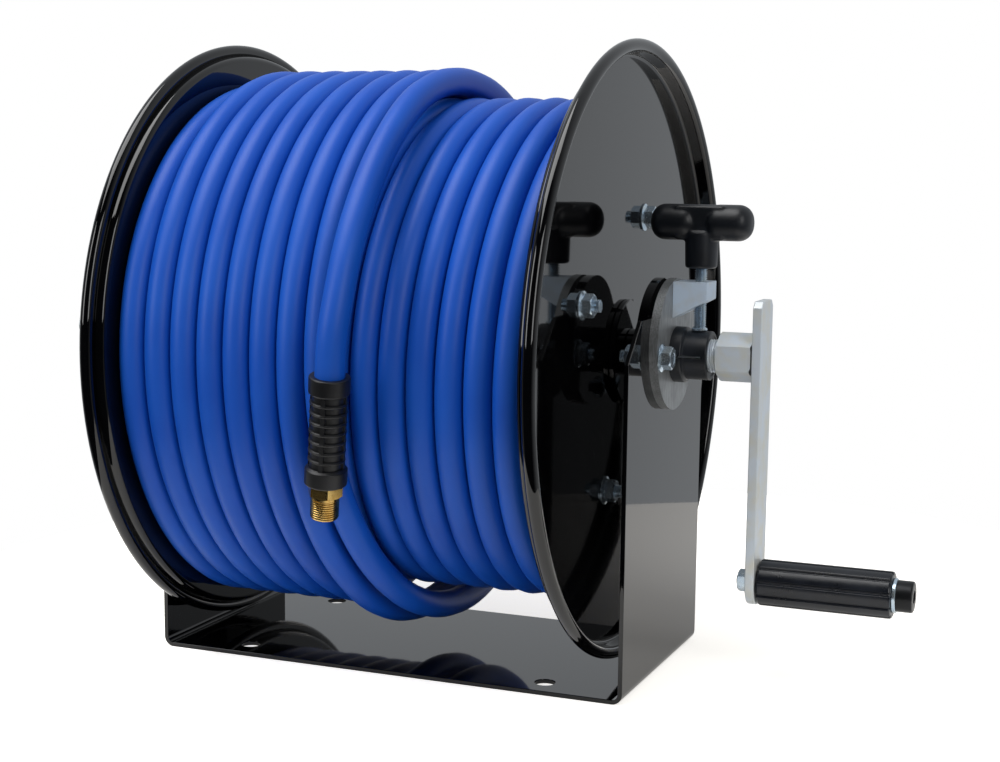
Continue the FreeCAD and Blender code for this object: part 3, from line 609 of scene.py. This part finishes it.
# Wedge bracket that holds the drag screw
def makeBracket():
    bracket = {"length": 22.3, "depth": 23.0, "top": 47.5, "root": 23.5, "tip": 11.5, "screwOut": 15.0}
    tip, top = dragFace + bracket["length"], bracket["top"]
    corners = [(dragFace, top), (tip, top), (tip, top - bracket["tip"]), (dragFace, top - bracket["root"])]
    piece = across("wedgeBracket", corners, bracket["depth"] / 2)
    cutter = turnedRod("cutter", 0, 60, screwHole)
    standUp(cutter, dragFace + bracket["screwOut"])
    combine(piece, cutter)
    soften(piece, 0.4, angle=30)
    finishPiece(piece, "frame", "gray_steel", bracketSteel, "wedge_bracket")


# Drag screw, its pad and the T-shaped knob
def makeDrag():
    drag = {"x": 187.0, "low": 15.8, "padHeight": 2.0, "padRadius": 5.0, "screwTop": 78.0, "outer": 4.0, "core": 3.1,
            "pitch": 1.5}
    tee = {"rise": 85.0, "half": 33.0, "lobe": 11.5, "end": 9.0, "gap": 2.0, "webLong": 17, "webHalf": 8.3,
           "webLow": 0.4, "webHigh": 0.3, "neckEnd": 56.0, "neckLow": 10.2, "neckTop": 10.8, "neckInside": 6}
    x, foot = drag["x"], drag["low"] + drag["padHeight"]
    screw = threaded("dragScrew", 0, drag["screwTop"] - foot, drag["outer"], drag["core"], drag["pitch"])
    standUp(screw, x, foot)
    finishPiece(screw, "drag_screw", "zinc_steel", screwZinc, "drag_screw", smoothAngle=25)

    pad = turned("dragPad", rodOutline(0, drag["padHeight"], drag["padRadius"], 0.5), faces=48)
    standUp(pad, x, drag["low"])
    finishPiece(pad, "drag_pad", "zinc_steel", screwZinc, "drag_pad")

    rise, lobe, end = tee["rise"], tee["lobe"], tee["end"]
    lobes = []
    for x0, x1 in ((x - tee["half"], x - tee["gap"]), (x + tee["gap"], x + tee["half"])):
        bar = [(x0, 0), (x0, lobe - end)] + arc(x0 + end, lobe - end, end, 180, 90, 8)[1:]
        bar += arc(x1 - end, lobe - end, end, 90, 0, 8) + [(x1, 0)]
        lobes.append(turned("teeKnob", bar, 0, rise))
    knob, other = lobes
    combine(knob, other, "UNION")
    corners = rectangle(x - tee["webLong"], x + tee["webLong"], rise - lobe + tee["webLow"],
                        rise + lobe - tee["webHigh"])
    web = across("web", corners, tee["webHalf"])
    soften(web, 2.5, 3)
    combine(knob, web, "UNION")
    reach = rise - tee["neckEnd"] - tee["neckInside"]
    neck = turned("neck", [(0, 0), (0, tee["neckLow"] - 1), (1, tee["neckLow"]), (reach, tee["neckTop"]), (reach, 0)])
    standUp(neck, x, tee["neckEnd"])
    combine(knob, neck, "UNION")
    modify(knob, "REMESH", mode="VOXEL", voxel_size=0.8 * mm)
    modify(knob, "SMOOTH", factor=0.5, iterations=7)
    hole = turnedRod("cutter", -2, drag["screwTop"] - tee["neckEnd"], drag["outer"])
    standUp(hole, x, tee["neckEnd"])
    combine(knob, hole)
    finishPiece(knob, "drag_screw", "black_nylon", nylon, "t_handle", smoothAngle=50)


makeBearings()
makeBracket()
makeDrag()
print("bearings, bracket and drag made")


# M8 fasteners: one flanged nut and one flanged bolt head, copied to their places
def makeFasteners():
    nut = {"flats": 13.0, "height": 8.0, "flange": 9.0, "flangeRim": 1.0, "flangeTop": 2.2, "thread": 4.0,
           "core": 3.35, "pitch": 1.25, "tip": 4.0, "tipLong": 14}
    tie = {"count": 4, "first": 67, "radius": 93.5}
    shankEnd = 155.0
    corner, top = nut["flats"] / math.sqrt(3), nut["height"]

    def hexagonOnFlange(name, domed):
        piece = hexagonBar(name, 0.2, top, nut["flats"])
        chamfer = 1.3 if domed else 0.9
        trim(piece, [(-1, 0), (-1, corner + 1), (top - chamfer, corner + 0.15), (top, corner - 1.2), (top, 0)])
        flange = nut["flange"]
        skirt = turned("skirt", [(0, 0), (0, flange - 0.2), (0.3, flange), (nut["flangeRim"], flange),
                                 (nut["flangeTop"], nut["flats"] / 2), (nut["flangeTop"] + 0.5, 0)])
        combine(piece, skirt, "UNION")
        return piece

    nutShape = hexagonOnFlange("nut", False)
    drill(nutShape, -1, top + 1, screwHole, faces=32)
    soften(nutShape, 0.15, 1, 40)
    headShape = hexagonOnFlange("head", True)
    dish = turned("cutter", [(top - 0.5, 0), (top - 0.35, 3.6), (top + 0.3, 4.4), (top + 0.3, 0)], faces=32)
    combine(headShape, dish)
    soften(headShape, 0.15, 1, 40)
    tipShape = threaded("tip", 0, nut["tipLong"], nut["thread"], nut["core"], nut["pitch"], faces=24)

    # from the drum's axis at x = 0 to a seat; out is 1 or -1
    def seat(x, out, y, z):
        turn = Matrix.Rotation(math.pi, 4, "Z") if out < 0 else Matrix.Identity(4)
        return Matrix.Translation(place(x, y, z)) @ turn @ Matrix.Translation(-place(0))

    pointOut = top + nut["tip"]
    bolts, nuts = [], []
    for side, face in ((1, dragFace), (-1, sheetOutside)):
        for y in (-plateBolt["y"], plateBolt["y"]):
            z = plateBolt["z"]
            bolts.append(copyPiece(headShape, "bolt", seat(side * face, side, y, z)))
            x0, x1 = sorted((side * (face + 0.3), side * shankEnd))
            bolts.append(turnedRod("shank", x0, x1, nut["thread"], y, z, faces=24))
            bolts.append(copyPiece(tipShape, "tip", seat(side * (plateInside - pointOut), side, y, z)))
            nuts.append(copyPiece(nutShape, "nut", seat(side * plateInside, -side, y, z)))
    finishPiece(joinAll("plateBolts", bolts), "frame", "zinc_steel", screwZinc, "plate_bolts")
    finishPiece(joinAll("plateNuts", nuts), "frame", "zinc_steel", screwZinc, "plate_nuts")

    rods, nuts = [], []
    for i in range(tie["count"]):
        turn = math.radians(tie["first"] + 360 / tie["count"] * i)
        y, z = tie["radius"] * math.cos(turn), tie["radius"] * math.sin(turn)
        rods.append(turnedRod("rod", -webFace, webFace, nut["core"], y, z, faces=24))
        for side in (1, -1):
            nuts.append(copyPiece(nutShape, "nut", seat(side * webFace, side, y, z)))
            rods.append(copyPiece(tipShape, "tip", seat(side * (webFace + pointOut), -side, y, z)))
    finishPiece(joinAll("tieRods", rods), "drum", "zinc_steel", screwZinc, "tie_rods")
    finishPiece(joinAll("tieNuts", nuts), "drum", "zinc_steel", screwZinc, "tie_nuts")
    for shape in (nutShape, headShape, tipShape):
        bpy.data.objects.remove(shape)


# Shaft with its pipe thread, and the rings that stand on it
def makeShaft():
    pipe = {"outer": shaftRadius, "bore": 7.9, "left": -200.0, "right": 219.0, "threadStart": 194.5,
            "threadEnd": 203.0, "core": 9.55, "pitch": 1.814}
    outer, bore, core, start, end = (pipe[key] for key in ("outer", "bore", "core", "threadStart", "threadEnd"))
    outline = [(pipe["left"], bore), (pipe["left"], outer), (start, outer), (start, core), (end, core), (end, outer),
               (pipe["right"], outer), (pipe["right"], bore)]
    shaft = turned("shaft", outline, faces=64)
    thread = threaded("pipeThread", start - 0.2, end + 0.2, outer, core - 0.2, pipe["pitch"], faces=64)
    drill(thread, start - 2, end + 2, core - 1.2, faces=64)
    finishPiece(joinAll("shaft", [shaft, thread]), "drum", "zinc_steel", zinc, "shaft")

    ring = {"disc": 34.0, "spacer": 15.0, "spacerEnd": 157.2, "corner": 0.6}
    for name, x0, x1, radius, node in (
            ("hubDiscRight", webFace, discFace, ring["disc"], "hub_disc_right"),
            ("hubDiscLeft", -discFace, -webFace, ring["disc"], "hub_disc_left"),
            ("spacerRight", discFace, ring["spacerEnd"], ring["spacer"], "spacer_right"),
            ("spacerLeft", -ring["spacerEnd"], -discFace, ring["spacer"], "spacer_left")):
        piece = turned(name, ringOutline(x0, x1, radius, outer, ring["corner"]))
        finishPiece(piece, "drum", "black_enamel", enamel, node)

    collar = {"start": -182.3, "end": -172.3, "radius": 16.0, "corner": 0.8, "screw": 2.6, "screwX": -177.3,
              "screwLow": 12.2}
    piece = turned("setCollar", ringOutline(collar["start"], collar["end"], collar["radius"], outer, collar["corner"]))
    hole = turnedRod("cutter", 0, 10, collar["screw"], faces=24)
    standUp(hole, collar["screwX"], collar["screwLow"])
    combine(piece, hole)
    finishPiece(piece, "drum", "zinc_steel", zinc, "set_collar")


# Crank: coupling, weld, arm, and the screw that carries the grip
def makeCrank():
    crank = {"couplingStart": 201.4, "couplingEnd": 225.1, "flats": 27.5, "chamfer": 0.8, "armThick": 6.0,
             "armWidth": 29.5, "armTop": 37.0, "armCorner": 4.0, "armRoundSteps": 24, "pipeEnd": 219.0}
    x0, x1 = crank["couplingStart"], crank["couplingEnd"]
    corner = crank["flats"] / math.sqrt(3)
    coupling = hexagonBar("crankCoupling", x0, x1, crank["flats"])
    trim(coupling, [(x0 - 0.01, 0), (x0 - 0.01, corner - 1.1), (x0 + crank["chamfer"], corner + 0.1),
                    (x1 + 1, corner + 0.1), (x1 + 1, 0)])
    drill(coupling, x0 - 1, crank["pipeEnd"], shaftRadius, faces=64)
    soften(coupling, 0.3, angle=30)
    finishPiece(coupling, "drum", "zinc_steel", zinc, "crank_coupling")

    half, top, low, cut = crank["armWidth"] / 2, crank["armTop"], -crankRadius, crank["armCorner"]
    side = [(-half, top - cut), (-half + cut, top), (half - cut, top), (half, top - cut)]
    side += arc(0, low, half, 0, -180, crank["armRoundSteps"])
    arm = drawnOut("crankArm", [place(x1, y, z) for y, z in side], Vector((crank["armThick"], 0, 0)) * mm)
    drill(arm, x1 - 1, x1 + 8, screwHole, 0, low, faces=32)
    soften(arm, 0.7, 3, 40)
    finishPiece(arm, "drum", "zinc_steel", zinc, "crank_arm")

    # the weld was laid after plating: a thin dark bead with a lump at each corner
    bead = {"flats": 28.1, "width": 1.0, "lumps": (3.6, 1.8, 2.3, 3.4, 2.0, 1.8), "lumpIn": 0.9,
            "lumpScale": (0.85, 1.0, 1.1)}
    weld = hexagonBar("weldBead", x1 - bead["width"], x1 + 1, bead["flats"])
    lumps = [weld]
    reach = corner - bead["lumpIn"]
    for i, size in enumerate(bead["lumps"]):
        turn = math.radians(60 * i + 90)
        deselectAll()
        bpy.ops.mesh.primitive_uv_sphere_add(segments=20, ring_count=10, radius=size * mm,
                                             location=place(x1, reach * math.cos(turn), reach * math.sin(turn)))
        lump = bpy.context.object
        lump.scale = bead["lumpScale"]
        placeInMesh(lump)
        lumps.append(lump)
    weld = joinAll("weldBead", lumps)
    modify(weld, "REMESH", mode="VOXEL", voxel_size=0.45 * mm)
    modify(weld, "SMOOTH", factor=0.5, iterations=3)
    combine(weld, hexagonBar("cutter", x1 - 6, x1 + 3, crank["flats"] - 0.4))
    editAll(weld)
    bpy.ops.mesh.bisect(plane_co=place(x1 + 0.02), plane_no=towardsCrank, use_fill=True, clear_outer=True)
    bpy.ops.object.mode_set(mode="OBJECT")
    finishPiece(weld, "drum", "zinc_steel", weldScale, smoothAngle=60)

    nut = {"start": 218.1, "flats": 13.0, "corner": 7.6, "chamferIn": 6.3}
    start = nut["start"]
    piece = hexagonBar("handleNut", start, x1, nut["flats"], 0, low)
    trim(piece, [(start - 1.1, 0), (start - 0.2, nut["chamferIn"]), (start + 0.8, nut["corner"]),
                 (x1 + 0.9, nut["corner"]), (x1 + 0.9, 0)], 0, low)
    drill(piece, start - 1.1, x1 + 0.9, screwHole, 0, low, faces=32)
    finishPiece(piece, "drum", "zinc_steel", screwZinc, "handle_nut")

    screw = {"start": 217.1, "thread": 4.0, "shoulder": 231.1, "seat": 319.6, "end": 329.9, "pivot": 6.0,
             "head": 10.0, "socket": 8.0, "socketDepth": 5.0}
    start, seat, end, outer, head = (screw[key] for key in ("start", "seat", "end", "thread", "head"))
    outline = [(start, 0), (start, outer - 0.6), (start + 0.6, outer), (screw["shoulder"], outer),
               (screw["shoulder"], screw["pivot"]), (seat, screw["pivot"]), (seat, head - 0.3), (seat + 0.3, head),
               (end - 1.2, head), (end - 0.4, head - 0.4), (end, head - 1.3), (end, 0)]
    piece = turned("handleScrew", outline, 0, low, faces=72)
    combine(piece, hexagonBar("cutter", end - screw["socketDepth"], end + 1, screw["socket"], 0, low))
    finishPiece(piece, "drum", "black_oxide", oxide, "handle_screw")

    washer = {"start": 317.15, "end": 319.55, "radius": 11.0, "hole": 6.05, "corner": 0.35}
    ring = ringOutline(washer["start"], washer["end"], washer["radius"], washer["hole"], washer["corner"])
    finishPiece(turned("handleWasher", ring, 0, low), "drum", "zinc_steel", screwZinc, "handle_washer")


# Fluted grip
def makeGrip():
    grip = {"start": 232.1, "length": 85.0, "radius": 15.0, "flutes": 10, "flute": 1.35, "firstFlute": 167,
            "fluteCurve": 2.4, "endRound": 1.6, "bore": 6.05, "faces": 400}
    low, radius, flute = -crankRadius, grip["radius"], grip["flute"]
    points = []
    for i in range(grip["faces"]):
        turn = 2 * math.pi * i / grip["faces"]
        away = math.remainder(turn - math.radians(grip["firstFlute"]), 2 * math.pi / grip["flutes"]) * radius
        r = radius - flute * max(1 - abs(away / flute) ** grip["fluteCurve"], 0)
        points.append(place(grip["start"], r * math.cos(turn), low + r * math.sin(turn)))
    piece = drawOutline("handleGrip", points)
    centre = place(0, 0, low)
    bpy.ops.mesh.edge_face_add()
    shrink = 1 - grip["endRound"] / radius
    bpy.ops.transform.resize(value=(1, shrink, shrink), center_override=centre)
    # the rounded end in three steps, the long body, and the same steps back
    steps, growth = (0.35, 0.65, 0.6), (1.075, 1.03)
    last = shrink * growth[0] * growth[1]
    body = grip["length"] - 2 * sum(steps)
    for reach, scale in ((steps[0], growth[0]), (steps[1], growth[1]), (steps[2], 1 / last), (body, 1.0),
                         (steps[2], last), (steps[1], 1 / growth[1]), (steps[0], 1 / growth[0])):
        bpy.ops.mesh.extrude_region_move(TRANSFORM_OT_translate={"value": Vector((reach, 0, 0)) * mm})
        bpy.ops.transform.resize(value=(1, scale, scale), center_override=centre)
    closeMesh(piece)
    drill(piece, grip["start"] - 2, grip["start"] + grip["length"] + 3, grip["bore"], 0, low)
    finishPiece(piece, "handle_grip", "black_nylon", gripPlastic, "handle_grip")


# Inlet swivel on the left
def makeSwivel():
    swivel = {"start": -186.0, "roundEnd": -221.5, "end": -243.5, "inletEnd": -283.5, "body": 18.0, "flats": 32.0,
              "neck": 15.0, "passage": 7.0, "seat": -200.3, "ring": 13.55, "ringDepth": 1.6, "core": 9.5,
              "pitch": 1.814, "threadStart": -264.0, "sealNear": -190.5, "sealFar": -194.0, "sealRadius": 14.2,
              "corner": 1.5}
    start, roundEnd, end, inletEnd = (swivel[key] for key in ("start", "roundEnd", "end", "inletEnd"))
    threadStart, sealNear, sealFar = swivel["threadStart"], swivel["sealNear"], swivel["sealFar"]
    piece = hexagonBar("swivelBody", end, roundEnd, swivel["flats"])
    corner = swivel["flats"] / math.sqrt(3)
    trim(piece, [(end - 1, 0), (end, corner - 2.0), (end + 1.2, corner + 0.1), (roundEnd - 1.2, corner + 0.1),
                 (roundEnd, corner - 2.0), (roundEnd + 1, 0)])
    outline = [(threadStart, 0), (threadStart, shaftRadius), (end + 1, shaftRadius), (end + 1, swivel["neck"]),
               (roundEnd - 1, swivel["neck"]), (roundEnd - 1, swivel["body"])]
    corner = swivel["corner"]
    outline += arc(start - corner, swivel["body"] - corner, corner, 90, 0, 5) + [(start, 0)]
    combine(piece, turned("round", outline), "UNION")
    thread = threaded("inletThread", inletEnd + 0.15, threadStart + 0.4, shaftRadius, swivel["core"],
                      swivel["pitch"], faces=48)
    combine(piece, thread, "UNION")
    passage, seal, ringSeat = swivel["passage"], swivel["sealRadius"], start - swivel["ringDepth"]
    bore = [(inletEnd - 1, 0), (inletEnd - 1, passage + 1), (inletEnd + 0.8, passage), (swivel["seat"], passage),
            (swivel["seat"], shaftHole), (sealFar, shaftHole), (sealFar, seal), (sealNear, seal),
            (sealNear, shaftHole), (ringSeat, shaftHole), (ringSeat, swivel["ring"]), (start + 1, swivel["ring"]),
            (start + 1, 0)]
    combine(piece, turned("cutter", bore, faces=64))
    finishPiece(piece, "swivel", "zinc_steel", zinc, "swivel_body")
    ring = turned("swivelRing", ringOutline(ringSeat, start, sleeveRadius, shaftHole))
    finishPiece(ring, "swivel", "zinc_steel", screwZinc, "swivel_ring")


makeFasteners()
makeShaft()
makeCrank()
makeGrip()
makeSwivel()
print("fasteners, shaft, crank, grip and swivel made")


# Hose end: slotted rubber sleeve, brass hexagon and male thread
def makeHoseEnd():
    sleeve = {"start": 2.4, "top": 12.6, "topRadius": 12.25, "rows": 8, "row": 5.86, "window": 3.9, "floor": 9.9,
              "rib": 11.3, "bottom": 10.0, "bottomRadius": 12.75, "bore": 9.05, "lower": 9.55, "lowerStart": 20,
              "boreEnd": 18.5, "bars": 4, "bar": 3.2, "barRadius": 11.0, "roll": 46}
    start, top, floor, rib, barRadius = (sleeve[key] for key in ("start", "top", "floor", "rib", "barRadius"))
    barEnd = top + sleeve["rows"] * sleeve["row"]
    length = barEnd + sleeve["bottom"]
    outline = [(start, sleeve["bore"])] + arc(start + 1.0, sleeve["topRadius"] - 1.0, 1.0, 180, 90, 4)
    outline += arc(top - 0.8, sleeve["topRadius"] - 0.8, 0.8, 90, 0, 3)
    edge = (sleeve["row"] - sleeve["window"]) / 2
    for i in range(sleeve["rows"]):
        low = top + i * sleeve["row"] + edge
        high = low + sleeve["window"]
        outline += [(low, rib - 0.7), (low, floor), (high, floor), (high, rib - 0.7)]
        if i < sleeve["rows"] - 1:
            outline += arc(high + edge, rib - 0.9, 0.9, 160, 20, 4)
    outline += arc(barEnd + 0.8, sleeve["bottomRadius"] - 0.8, 0.8, 180, 90, 3)
    outline += arc(length - 1.0, sleeve["bottomRadius"] - 1.0, 1.0, 90, 0, 4)
    outline += [(length, sleeve["lower"]), (sleeve["lowerStart"], sleeve["lower"]),
                (sleeve["boreEnd"], sleeve["bore"])]
    piece = turned("hoseEndSleeve", outline)
    for i in range(sleeve["bars"]):
        turn = math.radians(45 + 360 / sleeve["bars"] * i)
        outwards = Vector((0, math.cos(turn), math.sin(turn)))
        sideways = Vector((0, -math.sin(turn), math.cos(turn)))
        corners = []
        for out, aside in ((floor - 0.4, -1), (barRadius, -0.85), (barRadius, 0.85), (floor - 0.4, 1)):
            corners.append(place(top - 1) + (outwards * out + sideways * aside * sleeve["bar"] / 2) * mm)
        combine(piece, drawnOut("bar", corners, Vector((barEnd - top + 2, 0, 0)) * mm), "UNION")
    soften(piece, 0.18, 1, 50)
    sendTo(piece, hoseEnd, hoseEndDirection, roll=sleeve["roll"])
    finishPiece(piece, "drum", "black_rubber", sleeveRubber, "hose_end_sleeve")

    end = {"hexagon": 19.0, "hexagonLength": 7.3, "thread": 8.6, "core": 8.0, "pitch": 1.411, "threadLength": 14.4,
           "relief": 1.4, "passage": 4.75, "roll": 5}
    far = length + end["hexagonLength"]
    fitting = hexagonBar("hoseEndFitting", length, far, end["hexagon"])
    corner, outer = end["hexagon"] / math.sqrt(3), end["thread"]
    trim(fitting, [(length - 1, 0), (length - 1, corner + 0.1), (far - 1.0, corner + 0.1), (far, corner - 1.1),
                   (far, 0)])
    threadStart, threadEnd = far + end["relief"], far + end["threadLength"]
    neck = rodOutline(length + 1, threadStart + 0.4, outer - 0.2)
    combine(fitting, turned("neck", neck), "UNION")
    combine(fitting, threaded("thread", threadStart, threadEnd, outer, end["core"], end["pitch"], faces=48), "UNION")
    trim(fitting, [(length - 1, 0), (length - 1, corner + 2), (far + 2, corner + 2), (threadEnd - 1.4, outer + 0.1),
                   (threadEnd, end["core"]), (threadEnd, 0)])
    drill(fitting, length - 1, threadEnd + 1, end["passage"])
    sendTo(fitting, hoseEnd, hoseEndDirection, roll=end["roll"])
    finishPiece(fitting, "drum", "brass", brass, "hose_end_fitting", smoothAngle=28)
    return piece, fitting


sleeve, fitting = makeHoseEnd()
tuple(upperPoints[0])
print("hose end made")


# The CAD's own pieces that stay: inside the drum and behind the flanges
keptPieces = {"barrel": enamel, "riser_elbow": zinc, "hose_inner_fitting": brass, "swivel_seal": sleeveRubber,
              "hose_end_ferrule": brass}
for node, material in keptPieces.items():
    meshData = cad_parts[node].data
    meshData.materials.clear()
    meshData.materials.append(material)


# Camera: fitted to the photograph
def addCamera():
    view = {"azimuth": 22.419, "elevation": 8.694, "roll": 0.482, "focal": 1742.2,
            "width": 1000, "height": 762, "centreX": 486.0, "centreY": 420.3,
            "position": (485.9, -1082.6, 339.4)}
    a, e, r = (math.radians(view[key]) for key in ("azimuth", "elevation", "roll"))
    ahead = Vector((-math.sin(a) * math.cos(e), math.cos(a) * math.cos(e), -math.sin(e)))
    level = Vector((math.cos(a), math.sin(a), 0))
    upright = level.cross(ahead)
    right = level * math.cos(r) + upright * math.sin(r)
    up = upright * math.cos(r) - level * math.sin(r)
    deselectAll()
    bpy.ops.object.camera_add()
    camera = bpy.context.object
    camera.name = "camera"
    facing = Matrix((right, up, -ahead)).transposed().to_4x4()
    camera.matrix_world = Matrix.Translation(Vector(view["position"]) * mm) @ facing
    camera.data.sensor_width = 36.0
    camera.data.lens = 36.0 * view["focal"] / view["width"]
    camera.data.shift_x = (view["width"] / 2 - view["centreX"]) / view["width"]
    camera.data.shift_y = (view["centreY"] - view["height"] / 2) / view["width"]
    camera.data.clip_end = 50
    bpy.context.scene.camera = camera


def addSoftbox(name, position, target, width, height, power):
    deselectAll()
    bpy.ops.object.light_add(type="AREA", location=position)
    lamp = bpy.context.object
    lamp.name = name
    lamp.rotation_euler = (Vector(target) - Vector(position)).to_track_quat("-Z", "Y").to_euler()
    lamp.data.shape = "RECTANGLE"
    lamp.data.size = width
    lamp.data.size_y = height
    lamp.data.energy = power


# 1 for rays that leave a glossy or a clear surface
def inGloss(tree, seen):
    return addNode(tree, "Math", {"operation": "MAXIMUM"},
                   {0: seen.outputs["Is Glossy Ray"], 1: seen.outputs["Is Transmission Ray"]}).outputs["Value"]


# White all round for the camera. In the gloss the room behind is pale and the room in front is dark.
def addStudio():
    studio = {"ambient": 0.42, "roomBehind": "#C4C8CC", "roomInFront": "#1A1C20", "floor": "#F4F2EE",
              "floorGlow": 0.78, "floorGloss": 0.3, "floorRadius": 0.5, "floorCentre": (0.05, 0.13), "height": 0.2,
              "darkEnd": -0.45, "paleEnd": 0.3}
    world = bpy.data.worlds.new("studio")
    bpy.context.scene.world = world
    world.use_nodes = True
    tree = world.node_tree
    tree.nodes.clear()
    seen = addNode(tree, "LightPath")
    axes = addNode(tree, "SeparateXYZ", links={"Vector": addNode(tree, "TexCoord").outputs["Generated"]})
    depth = addNode(tree, "MapRange", {"From Min": studio["darkEnd"], "From Max": studio["paleEnd"]},
                    {"Value": axes.outputs["Y"]})
    room = ramp(tree, depth.outputs["Result"], (0.0, studio["roomInFront"]), (1.0, studio["roomBehind"]))
    ambient = addNode(tree, "Background", {"Color": (1, 1, 1, 1), "Strength": studio["ambient"]})
    glossy = addNode(tree, "Background", {"Strength": 1.0}, {"Color": room})
    white = addNode(tree, "Background", {"Color": (1, 1, 1, 1), "Strength": 1.0})
    lit = addNode(tree, "MixShader", links={0: inGloss(tree, seen), 1: ambient.outputs["Background"],
                                            2: glossy.outputs["Background"]})
    mixed = addNode(tree, "MixShader", links={0: seen.outputs["Is Camera Ray"], 1: lit.outputs["Shader"],
                                              2: white.outputs["Background"]})
    addNode(tree, "OutputWorld", links={"Surface": mixed.outputs["Shader"]})

    # name, place and aim in metres, width, height, watts
    addSoftbox("topSoftbox", (-0.5, -0.5, 1.9), (0, 0, studio["height"]), 1.4, 1.4, 29)
    addSoftbox("frontSoftbox", (-1.5, -1.9, 1.1), (0, 0, studio["height"]), 0.7, 1.4, 16)
    addSoftbox("sideSoftbox", (1.7, -1.5, 1.1), (0.1, 0, studio["height"]), 0.7, 1.4, 13)

    deselectAll()
    bpy.ops.mesh.primitive_circle_add(vertices=96, radius=studio["floorRadius"], fill_type="NGON",
                                      location=(*studio["floorCentre"], 0))
    floor = bpy.context.object
    floor.name = "floor"
    pale = linear(studio["floor"])
    material, tree = startMaterial("pale studio floor", Roughness=0.9, Base_Color=pale, Specular_IOR_Level=0.0,
                                   Emission_Color=pale)
    seen = addNode(tree, "LightPath")
    gloss = addNode(tree, "Math", {"operation": "MULTIPLY", 1: studio["floorGloss"]}, {0: inGloss(tree, seen)})
    glow = addNode(tree, "Math", {"operation": "MULTIPLY_ADD", 1: studio["floorGlow"]},
                   {0: seen.outputs["Is Camera Ray"], 2: gloss.outputs["Value"]})
    wire(tree, Emission_Strength=glow.outputs["Value"])
    floor.data.materials.append(material)


addCamera()
addStudio()
bpy.context.scene.view_settings.view_transform = "Standard"
print("camera and studio set")
